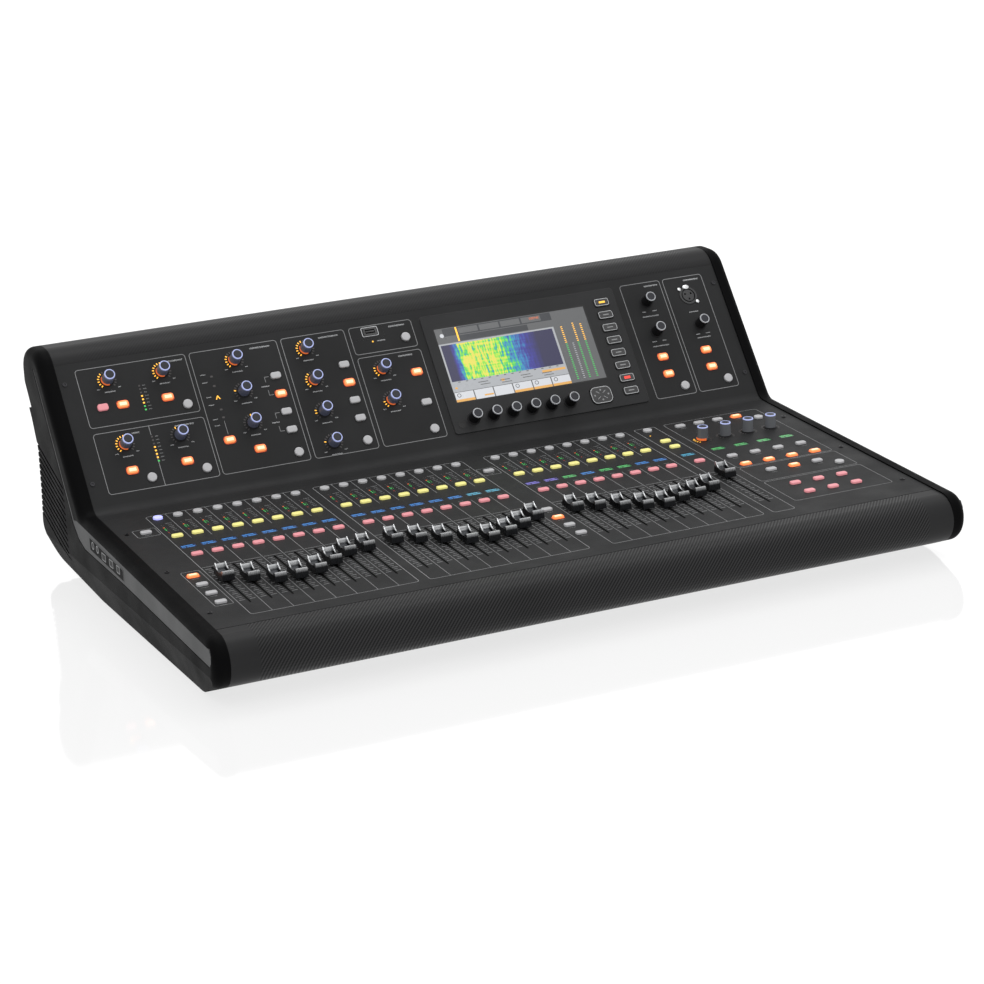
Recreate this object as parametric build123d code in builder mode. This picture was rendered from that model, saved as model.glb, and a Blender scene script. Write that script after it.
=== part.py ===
"""Digital mixing console: a low fader deck, a raised control panel and a rolled rear cowl.

Frame: origin under the middle of the console on the surface it stands on, +X to the
operator's right, +Y to the rear, +Z up.  Millimetres.
"""
from build123d import *
from math import cos, radians, sin, tan
import os

# ---- Outer size ------------------------------------------------------------------------
WIDTH = 891.0
DEPTH = 612.0
HEIGHT = 256.0
FOOT_HEIGHT = 3.0

# ---- Side outline (Y to the rear, Z up) ------------------------------------------------
CREASE_Y = 122.5            # where the deck meets the control panel
CREASE_Z = 92.5
DECK_SLOPE = 2.5            # degrees, the deck falls gently towards the operator
PANEL_SLOPE = 53.0          # degrees, the control panel leans back
CREASE_RADIUS = 18.0
ROLL_FRONT_RADIUS = 32.0
ROLL_REAR_RADIUS = 30.0
NOSE_TOP_RADIUS = 26.0
NOSE_BOTTOM_RADIUS = 30.0
NOSE_BOTTOM_Z = 28.5
BELLY_FRONT_Y = -243.0      # the flat bottom runs from here ...
BELLY_REAR_Y = 90.0         # ... to here
REAR_PANEL_Y = 262.0
REAR_PANEL_BOTTOM = 46.0
REAR_PANEL_TOP = 181.0
LIP_Y = 281.0               # lower edge of the rear cowl
LIP_Z = 186.0

# ---- Shells ----------------------------------------------------------------------------
CHEEK_WIDTH = 18.0
CHEEK_EDGE_RADIUS = 11.0
UNDERCUT_Z = 36.0           # below this the sides lean in ...
CRISP_START_Y = -262.0      # ahead of this the nose is rounded all the way
UNDERCUT = 9.0              # ... by this much at the bottom
CHEEK_WALL = 5.0            # left outside the hollow
CHEEK_RIM = 6.5             # left around the hollow
TRIM_DEPTH = 1.6            # recess for the side plates
TRIM_THICKNESS = 1.2
TRIM_GAP = 0.4
LOUVRES = 12                # air slots at the rear of each cheek
LOUVRE_Y = 232.0
LOUVRE_Z = 47.0
LOUVRE_PITCH = 7.7
LOUVRE_LENGTH = 116.0
LOUVRE_WIDTH = 2.8
LOUVRE_DEPTH = 2.6
LOUVRE_ANGLE = 19.0
RAIL_RISE = 1.5             # the cheeks stand a little above the panels
SHEET = 2.0                 # panel and tray thickness
SKIN = 3.0                  # moulded bolster and cowl thickness
FLANGE_HEIGHT = 24.0
INNER_HALF = WIDTH / 2 - CHEEK_WIDTH
PANEL_HALF = INNER_HALF - 0.2
DECK_LENGTH = 388.0         # from the crease to the bolster
DECK_START = 20.0           # the bent crease sheet reaches this far onto the deck
PANEL_LENGTH = 186.0        # from the crease to the cowl

# ---- Controls --------------------------------------------------------------------------
PITCH = 23.5                # from one fader to the next
BANK_STARTS = (-368.5, -168.5, 46.5)
BANK_SIZE = 8
MAIN_X = 248.0
SELECT_ROW = 43.5           # distances forward of the crease along the deck
SOLO_ROW = 108.5
SCRIBBLE_ROW = 144.0
MUTE_ROW = 172.0
SLOT_TOP = 218.0
SLOT_LENGTH = 115.5
SLOT_WIDTH = 2.6
FADER_TRAVEL = 100.0
KEY_SIZE = (12.5, 8.0)
KEY_RADIUS = 2.6
KEY_HEIGHT = 2.2
KEY_GAP = 0.4
KEY_TRAVEL = 0.8
KEY_STEM = 4.0              # below the panel face
KEY_EDGE = 0.7
ROUND_KEY = 11.0            # diameter
DISPLAY_KEY_SIZE = (20.0, 10.5)
KNOB_TOP_RADIUS = 6.2
KNOB_BASE_RADIUS = 6.8
KNOB_HEIGHT = 16.5
KNOB_LIFT = 1.2
SHAFT_RADIUS = 3.0
SHAFT_GAP = 0.35
SHAFT_DEPTH = 8.0
CAP_LENGTH = 27.0
CAP_WIDTH = 14.5
CAP_LIFT = 2.5              # the caps run this far over the deck
CAP_SADDLE = 8.6
CAP_TOP = 14.8
CAP_FLARE = 1.1             # the caps narrow by this much at each side
CAP_SCOOP = 10.4
BLADE_THICKNESS = 1.2
BLADE_LENGTH = 7.5
BLADE_DEPTH = 11.5
WINDOW_SIZE = (18.0, 9.0)
NAVIGATION_SIZE = (28.0, 22.0)
NAVIGATION_RADIUS = 7.0
USB_SIZE = (14.0, 7.0)
SCREEN_DEPTH = 6.0

KNOB_ROWS = [38.0 + 40.4 * k for k in range(4)]     # up the control panel
SMALL_ROWS = [62.5 + 23.1 * k for k in range(4)]
VIEW_ROW = 33.6
ASSIGN_COLUMNS = [289.5 + 30.8 * k for k in range(4)]
COLUMN_ROWS = [234.0 + 28.2 * k for k in range(4)]  # key columns beside the faders

DECK = Plane(
    origin=(0, CREASE_Y, CREASE_Z),
    x_dir=(1, 0, 0),
    z_dir=(0, -sin(radians(DECK_SLOPE)), cos(radians(DECK_SLOPE))),
)
PANEL = Plane(
    origin=(0, CREASE_Y, CREASE_Z),
    x_dir=(1, 0, 0),
    z_dir=(0, -sin(radians(PANEL_SLOPE)), cos(radians(PANEL_SLOPE))),
)

CHANNELS = [start + PITCH * k for start in BANK_STARTS for k in range(BANK_SIZE)] + [MAIN_X]

# How far each fader's centre stands forward of the crease.
FADER_ARCS = (
    [257, 271, 288, 288, 284, 268, 251, 247]
    + [241, 252, 265, 281, 287, 280, 266, 250]
    + [247, 255, 270, 280, 286, 276, 272, 261]
    + [232]
)

LEFT_COLUMN_X = -395.5
MIDDLE_COLUMN_X = 20.0
EXTRA_SELECT_ROW = 82.0


def deck_points(columns, rows):
    """Deck positions, with rows counted forward of the crease."""
    return [(x, -row) for row in rows for x in columns]


SELECT_KEYS = deck_points(CHANNELS, [SELECT_ROW])
SOLO_KEYS = deck_points(CHANNELS[:-1], [SOLO_ROW]) + deck_points([MAIN_X], [89.0, 112.0])
MUTE_KEYS = deck_points(CHANNELS, [MUTE_ROW])
MUTE_GROUP_KEYS = deck_points([304.5 + 30.6 * k for k in range(3)], [293.0, 324.5])
DECK_KEYS = (
    deck_points([LEFT_COLUMN_X, MIDDLE_COLUMN_X], [EXTRA_SELECT_ROW] + COLUMN_ROWS)
    + deck_points([290.0 + 25.6 * k for k in range(4)], [48.0])
    + deck_points(ASSIGN_COLUMNS, [175.0, 207.0])
    + deck_points([304.5 + 30.6 * k for k in range(3)], [239.0])
)
DECK_ROUND_KEYS = [(388.5, -64.5), (386.0, -255.0)]
ASSIGN_KNOBS = deck_points(ASSIGN_COLUMNS, [104.5])
SCRIBBLE_WINDOWS = deck_points(CHANNELS, [SCRIBBLE_ROW])
ASSIGN_WINDOWS = deck_points(ASSIGN_COLUMNS, [142.0])

GAIN_X, FILTER_X = -371.0, -305.2
EQ_X, SEND_X, MAIN_BUS_X = -216.5, -128.0, -41.5
EQ_KEY_X, SEND_KEY_X, MAIN_KEY_X = -173.0, -87.0, -0.5
MONITOR_X, TALK_X = 321.8, 383.0
UPPER_KEYS = (
    [(-384.4, 126.7), (-360.6, 126.7), (-306.7, 126.7), (GAIN_X, 46.0), (FILTER_X, 46.0)]
    + [(-249.3, SMALL_ROWS[0]), (EQ_X, 46.0)]
    + [(EQ_KEY_X, row) for row in SMALL_ROWS]
    + [(SEND_KEY_X, row) for row in SMALL_ROWS]
    + [(MAIN_KEY_X, 108.2), (MAIN_KEY_X, 68.4)]
    + [(319.0, 75.4), (319.0, 52.4), (379.3, 75.4), (379.3, 52.4)]
)
UPPER_ROUND_KEYS = (
    [(-286.0, 114.3), (-351.0, VIEW_ROW), (-285.2, VIEW_ROW), (-172.5, VIEW_ROW)]
    + [(-86.5, VIEW_ROW), (-0.8, VIEW_ROW), (-0.8, 154.2), (335.1, VIEW_ROW), (395.4, VIEW_ROW)]
)

BEZEL = (22.5, 281.5, 20.5, 175.5)      # X from, X to, up the panel from, to
SCREEN = (36.0, 236.0, 60.5, 157.0)
BEZEL_HEIGHT = 1.6
DISPLAY_KNOBS = [(50.7 + 25.55 * k, 37.4) for k in range(6)]
DISPLAY_KEYS = [(261.3, 38.5 + 17.05 * k) for k in range(8)]
NAVIGATION_PAD = (221.0, 38.9)
TALK_SOCKET = (380.6, 149.8)
USB_PORT = (-43.0, 168.0)

# Knobs that turn on their own, and the encoders left over.
SINGLE_KNOBS = {
    "gain_knob": (GAIN_X, KNOB_ROWS[3]),
    "gate_knob": (GAIN_X, KNOB_ROWS[1]),
    "equaliser_knob": (EQ_X, KNOB_ROWS[2]),
    "main_level_knob": (MAIN_BUS_X, KNOB_ROWS[2]),
    "monitor_knob": (MONITOR_X, 150.0),
    "talkback_knob": (TALK_X, 110.0),
}
UPPER_ENCODERS = (
    [(FILTER_X, KNOB_ROWS[3]), (FILTER_X, KNOB_ROWS[1]), (EQ_X, KNOB_ROWS[3]), (EQ_X, KNOB_ROWS[1])]
    + [(SEND_X, row) for row in KNOB_ROWS]
    + [(MAIN_BUS_X, KNOB_ROWS[1]), (MONITOR_X, 109.5)]
    + DISPLAY_KNOBS
)

DECK_SCREWS = deck_points([-416.0, 416.0], [77.6, 209.7, 341.8])
PANEL_SCREWS = [(x, row) for x in (-420.5, 420.5) for row in (37.4, 161.3)]

# ---- Rear connectors -------------------------------------------------------------------
XLR_PITCH = 28.0
XLR_ROWS = (146.0, 108.0)
XLR_INPUT_START = 399.0     # the inputs run from the operator's right to the left
XLR_INPUTS = [(XLR_INPUT_START - XLR_PITCH * k, z) for z in XLR_ROWS for k in range(16)]
XLR_OUTPUTS = [(-66.0 - XLR_PITCH * k, z) for z in XLR_ROWS for k in range(8)]
JACKS = [(392.0 - 22.0 * k, 72.0) for k in range(12)]
NETWORK_PORTS = [(90.0, 72.0), (62.0, 72.0), (34.0, 72.0)]
DIN_PORTS = [(-8.0, 72.0), (-36.0, 72.0)]
MONITOR_PLUGS = [(-80.0 - 30.0 * k, 72.0) for k in range(4)]
INLET = (-350.0, 128.0)
INLET_CAVITY = (24.5, 16.5, 15.0)
INLET_BODY = (28.5, 20.5)
SWITCH = (-350.0, 88.0)
SWITCH_OPENING = (26.0, 16.0)
PANEL_HOLE_GAP = 0.3
XLR_FLANGE = (26.0, 31.0)
XLR_PLATE = 1.5
XLR_BODY_RADIUS = 10.5
XLR_BODY_LENGTH = 19.0
XLR_CUP_RADIUS = 8.6
XLR_RING = 0.9              # width of the ring groove in an input
XLR_PIN_CIRCLE = 4.6
XLR_PIN_RADIUS = 1.3
TALK_RIM = 0.8
TALK_RIM_RADIUS = 11.6
SHALLOW = 3.4               # how deep the sockets are modelled
JACK_RADIUS = 5.5
PORT_SIZE = 15.0
DIN_RADIUS = 8.5
REAR_SCREWS = [(x, z) for x in (-419.0, 419.0) for z in (58.0, 170.0)]
REAR = Plane(origin=(0, REAR_PANEL_Y, 0), x_dir=(-1, 0, 0), z_dir=(0, 1, 0))

# ---- Inside and underneath -------------------------------------------------------------
SUPPLY_CENTRE = (-290.0, 28.0)
SUPPLY_SIZE = (170.0, 110.0)
SUPPLY_HEIGHT = 38.0
BOARD = 1.6
PILLAR_RADIUS = 2.2
DECK_BOARD_DEPTH = 14.0
PANEL_BOARD_DEPTH = 16.0
REAR_BOARD_GAP = 24.0
MAIN_BOARD_Z = 22.0
DECK_PILLARS = deck_points([-404.0, -186.2, 8.2, 229.5, 404.0], [32.0, 190.0])
PANEL_PILLARS = [(x, u) for x in (-270.7, -157.5, -71.8, 17.6, 287.0) for u in (60.0, 150.0)]
REAR_PILLARS = [(x, z) for x in (-240.0, 80.0, 385.0) for z in (89.5, 127.0)]
MAIN_PILLARS = [(x, y) for x in (-160.0, 110.0, 380.0) for y in (40.0, 80.0)]
TRACK_WIDTH = 9.0
TRACK_WALL = 1.2
TRACK_HEIGHT = 12.0
MOTOR_RADIUS = 8.0
MOTOR_LENGTH = 16.0
FEET = [(x, y) for x in (-370.0, 0.0, 370.0) for y in (-205.0, 60.0)]
FOOT_RADIUS = 11.0
SCREW_RADIUS = 2.6
SWITCH_TILT = 12.0          # degrees from one side to the other
SWITCH_PIVOT_Y = REAR_PANEL_Y - 4.5
SWITCH_PIN_RADIUS = 1.5
SWITCH_PIN_GAP = 0.05
SWITCH_PIN_REACH = 14.2     # the pins end inside the walls of the switch box


def ramp(distance, slope):
    """Y and Z of a point on a slope, measured from the crease."""
    return (
        CREASE_Y + distance * cos(radians(slope)),
        CREASE_Z + distance * sin(radians(slope)),
    )


def lifted(point, slope, lift):
    """A Y, Z point moved square to a slope."""
    return (point[0] - lift * sin(radians(slope)), point[1] + lift * cos(radians(slope)))


def crossing(slope_line_lift, slope, height):
    """Y where a slope through the crease, lifted square to itself, reaches a height."""
    y, z = lifted((CREASE_Y, CREASE_Z), slope, slope_line_lift)
    return y + (height - z) / tan(radians(slope))


def save(part, name):
    """Label a finished piece and write it as its own node."""
    part.label = name
    export_step(part, f"parts/{name}.step")


# ---- Shells ----------------------------------------------------------------------------
def side_outline():
    """Closed outline of the console seen from the side, for the end cheeks."""
    half_bend = (PANEL_SLOPE - DECK_SLOPE) / 2
    crease_lift = RAIL_RISE / cos(radians(half_bend))
    crease = lifted((CREASE_Y, CREASE_Z), (PANEL_SLOPE + DECK_SLOPE) / 2, crease_lift)
    nose_y = -DEPTH / 2
    nose_top = crease[1] - (crease[0] - nose_y) * tan(radians(DECK_SLOPE))
    corners = [
        ((BELLY_FRONT_Y, FOOT_HEIGHT), 40.0),
        ((nose_y, NOSE_BOTTOM_Z), NOSE_BOTTOM_RADIUS),
        ((nose_y, nose_top), NOSE_TOP_RADIUS),
        (crease, CREASE_RADIUS),
        ((crossing(RAIL_RISE, PANEL_SLOPE, HEIGHT), HEIGHT), ROLL_FRONT_RADIUS),
        ((DEPTH / 2, HEIGHT), ROLL_REAR_RADIUS),
        ((DEPTH / 2, 210.0), 14.0),
        ((LIP_Y, 172.0), 14.0),
        ((267.0, 140.0), 16.0),
        ((270.0, 88.0), 16.0),
        ((276.0, 44.0), 14.0),
        ((240.0, 15.0), 60.0),
        ((BELLY_REAR_Y, FOOT_HEIGHT), 60.0),
    ]
    return corners


def rounded_outline(corners):
    """The face inside a closed polygon whose corners each have a radius."""
    with BuildSketch() as outline:
        with BuildLine():
            FilletPolyline(
                *[point for point, _ in corners],
                radius=[radius for _, radius in corners],
                close=True,
            )
        make_face()
    return outline.sketch


def bent_sheet(points, radii, thickness, half_width):
    """A sheet across the console, bent along a path of Y, Z points; it thickens inwards."""
    with BuildPart() as sheet:
        with BuildSketch(Plane.YZ.offset(-half_width)):
            with BuildLine():
                FilletPolyline(*points, radius=radii)
                offset(amount=thickness, side=Side.RIGHT)
            make_face()
        extrude(amount=2 * half_width)
    return sheet.part


def end_cheek(side):
    """Moulded end cheek: soft upper edges, crisp lower ones, hollow inside; side is -1 or +1."""
    inner = Plane.YZ.offset(side * INNER_HALF)
    outer = Plane.YZ.offset(side * (WIDTH / 2 - TRIM_DEPTH))
    outline = rounded_outline(side_outline())
    with BuildPart() as cheek:
        with BuildSketch(inner):
            add(outline)
        extrude(amount=side * CHEEK_WIDTH)
        rim = cheek.faces().sort_by(Axis.X)[-1 if side > 0 else 0].outer_wire().edges()
        fillet(rim, CHEEK_EDGE_RADIUS)
        with BuildSketch(inner):
            add(outline)
            add(crisp_region(), mode=Mode.INTERSECT)
        extrude(amount=side * CHEEK_WIDTH)
        with BuildSketch(Plane.XZ.offset(-DEPTH)):
            add(undercut_section(side))
        extrude(amount=2 * DEPTH, mode=Mode.SUBTRACT)
        with BuildSketch(inner):
            add(outline)
            offset(amount=-CHEEK_RIM, kind=Kind.INTERSECTION)
            add(above_undercut(), mode=Mode.INTERSECT)
        extrude(amount=side * (CHEEK_WIDTH - CHEEK_WALL), mode=Mode.SUBTRACT)
        with BuildSketch(outer):
            add(trim_outline())
            offset(amount=TRIM_GAP, kind=Kind.INTERSECTION)
        extrude(amount=side * CHEEK_WIDTH, mode=Mode.SUBTRACT)
        with BuildSketch(Plane.YZ.offset(side * (WIDTH / 2 - LOUVRE_DEPTH))):
            for k in range(LOUVRES):
                centre = (LOUVRE_Y, LOUVRE_Z + LOUVRE_PITCH * k)
                with Locations(Location(centre, LOUVRE_ANGLE)):
                    SlotOverall(LOUVRE_LENGTH, LOUVRE_WIDTH)
        extrude(amount=side * CHEEK_WIDTH, mode=Mode.SUBTRACT)
    return cheek.part


def crisp_region():
    """The low and rear part of the side, where its edges are not rounded."""
    with BuildSketch() as region:
        with BuildLine():
            Polyline(
                (CRISP_START_Y, -5.0),
                (CRISP_START_Y, UNDERCUT_Z),
                (100.0, UNDERCUT_Z),
                (215.0, 183.0),
                (320.0, 183.0),
                (320.0, -5.0),
                close=True,
            )
        make_face()
    return region.sketch


def above_undercut():
    """The part of the side where the hollow may reach its full depth."""
    with BuildSketch() as region:
        with Locations((0, UNDERCUT_Z + 150.0)):
            Rectangle(2 * DEPTH, 300.0)
    return region.sketch


def undercut_section(side):
    """Thin wedge, seen from the front, that leans the bottom of a side inwards."""
    edge = side * WIDTH / 2
    lean = UNDERCUT / (UNDERCUT_Z - FOOT_HEIGHT)
    low = -5.0
    with BuildSketch() as section:
        with BuildLine():
            Polyline(
                (edge, UNDERCUT_Z),
                (edge + side * 2.0, UNDERCUT_Z),
                (edge + side * 2.0, low),
                (edge - side * lean * (UNDERCUT_Z - low), low),
                close=True,
            )
        make_face()
    return section.sketch


def trim_outline():
    """Long wedge under the side rail; behind the crease it narrows to a strip up the side."""
    with BuildSketch() as outline:
        with BuildLine():
            Polyline(
                (-293.0, 47.5),
                (-297.0, 53.0),
                (-297.0, 60.0),
                (-293.0, 66.6),
                (-70.0, 76.6),
                (110.0, 84.5),
                (137.0, 85.5),
                (146.5, 84.0),
                (255.0, 236.0),
                (257.2, 234.4),
                (149.0, 78.5),
                (134.0, 66.0),
                (112.0, 59.2),
                (-26.0, 57.4),
                close=True,
            )
        make_face()
    return outline.sketch


def side_trim_plates():
    """Thin plates let into the sides of the two cheeks."""
    with BuildPart() as plates:
        for side in (-1, 1):
            with BuildSketch(Plane.YZ.offset(side * (WIDTH / 2 - TRIM_DEPTH))):
                add(trim_outline())
            extrude(amount=side * TRIM_THICKNESS)
    return plates.part


def front_bolster():
    """Rounded hollow beam along the front edge, for the operator's wrists."""
    nose_y = -DEPTH / 2
    back = ramp(-DECK_LENGTH, DECK_SLOPE)
    nose_top = CREASE_Z - (CREASE_Y - nose_y) * tan(radians(DECK_SLOPE))
    corners = [
        ((BELLY_FRONT_Y, FOOT_HEIGHT), 2.0),
        ((nose_y, NOSE_BOTTOM_Z), NOSE_BOTTOM_RADIUS),
        ((nose_y, nose_top), NOSE_TOP_RADIUS),
        (back, 1.0),
        ((back[0], back[1] - 14.0), 1.0),
        ((BELLY_FRONT_Y, FOOT_HEIGHT + 18.0), 2.0),
    ]
    hollow = offset(rounded_outline(corners), amount=-SKIN, kind=Kind.INTERSECTION)
    with BuildPart() as bolster:
        with BuildSketch(Plane.YZ.offset(-PANEL_HALF)):
            add(rounded_outline(corners))
            add(hollow, mode=Mode.SUBTRACT)
        extrude(amount=2 * PANEL_HALF)
    return bolster.part


def base_chassis():
    """Bent steel tray: the flat belly, the swept-up rear and two side flanges."""
    path = [
        (BELLY_FRONT_Y + 0.2, FOOT_HEIGHT),
        (BELLY_REAR_Y, FOOT_HEIGHT),
        (240.0, 15.0),
        (REAR_PANEL_Y, 34.0),
        (REAR_PANEL_Y, REAR_PANEL_BOTTOM),
    ]
    with BuildPart() as tray:
        with BuildSketch(Plane.YZ.offset(-PANEL_HALF)):
            with BuildLine():
                FilletPolyline(*path, radius=[60.0, 20.0, 6.0])
                offset(amount=SHEET, side=Side.LEFT)
            make_face()
        extrude(amount=2 * PANEL_HALF)
        with BuildSketch(Plane.XY.offset(FOOT_HEIGHT + SHEET)):
            for side in (-1, 1):
                with Locations((side * (PANEL_HALF - SHEET / 2), (BELLY_FRONT_Y + BELLY_REAR_Y) / 2)):
                    Rectangle(SHEET, BELLY_REAR_Y - BELLY_FRONT_Y - 20.0)
        extrude(amount=FLANGE_HEIGHT)
    return tray.part


def rear_cowl():
    """Rolled top cover, from the head of the control panel down behind it."""
    path = [
        ramp(PANEL_LENGTH + 0.2, PANEL_SLOPE),
        (crossing(0, PANEL_SLOPE, HEIGHT), HEIGHT),
        (DEPTH / 2, HEIGHT),
        (DEPTH / 2, 212.0),
        (LIP_Y, LIP_Z),
        (REAR_PANEL_Y, LIP_Z),
    ]
    radii = [ROLL_FRONT_RADIUS, ROLL_REAR_RADIUS, 14.0, 4.0]
    return bent_sheet(path, radii, SKIN, PANEL_HALF)


def rear_panel():
    """Upright connector panel, cut out for every socket."""
    middle = (REAR_PANEL_BOTTOM + REAR_PANEL_TOP) / 2
    with BuildPart() as panel:
        with BuildSketch(Plane.XZ.offset(-REAR_PANEL_Y)) as face:
            with Locations((0, middle)):
                Rectangle(2 * PANEL_HALF, REAR_PANEL_TOP - REAR_PANEL_BOTTOM - 0.4)
            with Locations(*XLR_INPUTS, *XLR_OUTPUTS):
                Circle(XLR_BODY_RADIUS + PANEL_HOLE_GAP, mode=Mode.SUBTRACT)
            with Locations(*JACKS):
                Circle(JACK_RADIUS + PANEL_HOLE_GAP, mode=Mode.SUBTRACT)
            with Locations(*NETWORK_PORTS, *MONITOR_PLUGS):
                Rectangle(PORT_SIZE + 2 * PANEL_HOLE_GAP, PORT_SIZE + 2 * PANEL_HOLE_GAP, mode=Mode.SUBTRACT)
            with Locations(*DIN_PORTS):
                Circle(DIN_RADIUS + PANEL_HOLE_GAP, mode=Mode.SUBTRACT)
            with Locations(INLET):
                Rectangle(INLET_BODY[0] + 0.6, INLET_BODY[1] + 0.6, mode=Mode.SUBTRACT)
            with Locations(SWITCH):
                Rectangle(*SWITCH_OPENING, mode=Mode.SUBTRACT)
        extrude(amount=SHEET)
    return panel.part


def key_holes(centres, size, radius):
    """Rounded holes in a panel sketch, with the running gap around each key."""
    with BuildSketch() as holes:
        with Locations(*centres):
            RectangleRounded(size[0] + 2 * KEY_GAP, size[1] + 2 * KEY_GAP, radius + KEY_GAP)
    return holes.sketch


def fader_deck():
    """Flat fader panel with its slots, key holes and display windows."""
    keys = SOLO_KEYS + MUTE_KEYS + MUTE_GROUP_KEYS + DECK_KEYS
    with BuildPart() as deck:
        with BuildSketch(DECK):
            with Locations((0, -(DECK_START + DECK_LENGTH) / 2)):
                Rectangle(2 * PANEL_HALF, DECK_LENGTH - DECK_START - 0.4)
        extrude(amount=-SHEET)
        with BuildSketch(DECK):
            add(key_holes(keys, KEY_SIZE, KEY_RADIUS))
            with Locations(*deck_points(CHANNELS, [SLOT_TOP + SLOT_LENGTH / 2])):
                SlotOverall(SLOT_LENGTH, SLOT_WIDTH, rotation=90)
            with Locations(*SELECT_KEYS, *DECK_ROUND_KEYS):
                Circle(ROUND_KEY / 2 + KEY_GAP)
            with Locations(*ASSIGN_KNOBS):
                Circle(SHAFT_RADIUS + SHAFT_GAP)
            with Locations(*SCRIBBLE_WINDOWS, *ASSIGN_WINDOWS):
                Rectangle(*WINDOW_SIZE)
        extrude(amount=-SHEET, mode=Mode.SUBTRACT)
    return deck.part


def upper_panel():
    """Control panel sheet, bent forward at its foot to meet the deck."""
    path = [
        ramp(-DECK_START, DECK_SLOPE),
        (CREASE_Y, CREASE_Z),
        ramp(PANEL_LENGTH, PANEL_SLOPE),
    ]
    knobs = list(SINGLE_KNOBS.values()) + UPPER_ENCODERS
    with BuildPart() as panel:
        add(bent_sheet(path, [CREASE_RADIUS], SHEET, PANEL_HALF))
        with BuildSketch(PANEL.offset(BEZEL_HEIGHT)):
            add(key_holes(UPPER_KEYS, KEY_SIZE, KEY_RADIUS))
            add(key_holes(DISPLAY_KEYS, DISPLAY_KEY_SIZE, KEY_RADIUS))
            with Locations(*UPPER_ROUND_KEYS):
                Circle(ROUND_KEY / 2 + KEY_GAP)
            with Locations(*knobs):
                Circle(SHAFT_RADIUS + SHAFT_GAP)
            with Locations(NAVIGATION_PAD):
                RectangleRounded(NAVIGATION_SIZE[0] + 1, NAVIGATION_SIZE[1] + 1, NAVIGATION_RADIUS)
            with Locations(centre_of(SCREEN)):
                Rectangle(*size_of(SCREEN))
            with Locations(TALK_SOCKET):
                Circle(XLR_BODY_RADIUS + PANEL_HOLE_GAP)
            with Locations(USB_PORT):
                Rectangle(USB_SIZE[0] + 0.6, USB_SIZE[1] + 0.6)
        extrude(amount=-12.0, mode=Mode.SUBTRACT)
    return panel.part


def centre_of(area):
    """Middle of an area given as X from, X to, up from, up to."""
    return ((area[0] + area[1]) / 2, (area[2] + area[3]) / 2)


def size_of(area):
    """Width and length of an area given as X from, X to, up from, up to."""
    return (area[1] - area[0], area[3] - area[2])


def display_bezel():
    """Raised plate around the screen, its keys and its six encoders."""
    with BuildPart() as bezel:
        with BuildSketch(PANEL):
            with Locations(centre_of(BEZEL)):
                RectangleRounded(*size_of(BEZEL), 4.0)
            add(key_holes(DISPLAY_KEYS, DISPLAY_KEY_SIZE, KEY_RADIUS), mode=Mode.SUBTRACT)
            with Locations(*DISPLAY_KNOBS):
                Circle(SHAFT_RADIUS + SHAFT_GAP, mode=Mode.SUBTRACT)
            with Locations(NAVIGATION_PAD):
                RectangleRounded(
                    NAVIGATION_SIZE[0] + 1, NAVIGATION_SIZE[1] + 1, NAVIGATION_RADIUS, mode=Mode.SUBTRACT
                )
            with Locations(centre_of(SCREEN)):
                Rectangle(*size_of(SCREEN), mode=Mode.SUBTRACT)
        extrude(amount=BEZEL_HEIGHT)
        top = bezel.faces().sort_by(SortBy.AREA)[-1]
        chamfer(top.outer_wire().edges(), 0.5)
    return bezel.part


def display_glass():
    """Colour screen set a little below the face of the bezel."""
    width, length = size_of(SCREEN)
    with BuildPart() as glass:
        with BuildSketch(PANEL.offset(-SCREEN_DEPTH)):
            with Locations(centre_of(SCREEN)):
                Rectangle(width - 0.2, length - 0.2)
        extrude(amount=SCREEN_DEPTH + BEZEL_HEIGHT - 0.5)
    return glass.part


def scribble_displays():
    """Small channel displays filling the windows in the deck."""
    with BuildPart() as displays:
        with BuildSketch(DECK.offset(-4.0)):
            with Locations(*SCRIBBLE_WINDOWS, *ASSIGN_WINDOWS):
                Rectangle(WINDOW_SIZE[0] - 0.2, WINDOW_SIZE[1] - 0.2)
        extrude(amount=3.7)
    return displays.part


# ---- Connectors ------------------------------------------------------------------------
def mirrored(centres):
    """X, Z positions as seen from behind, where X runs the other way."""
    return [(-x, z) for x, z in centres]


def pole_sockets(plane, centres, is_input):
    """Flanged three-pole sockets; inputs have pin holes, outputs a cup with pins."""
    with BuildPart() as sockets:
        with BuildSketch(plane):
            with Locations(*centres):
                RectangleRounded(*XLR_FLANGE, 3.0)
        extrude(amount=XLR_PLATE)
        with BuildSketch(plane):
            with Locations(*centres):
                Circle(XLR_BODY_RADIUS)
        extrude(amount=-XLR_BODY_LENGTH)
        with BuildSketch(plane.offset(XLR_PLATE)):
            with Locations(*centres):
                Circle(XLR_CUP_RADIUS)
                if is_input:
                    Circle(XLR_CUP_RADIUS - XLR_RING, mode=Mode.SUBTRACT)
                with PolarLocations(XLR_PIN_CIRCLE, 3, start_angle=30):
                    Circle(XLR_PIN_RADIUS, mode=Mode.ADD if is_input else Mode.SUBTRACT)
        extrude(amount=-SHALLOW, mode=Mode.SUBTRACT)
    return sockets.part


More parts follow.
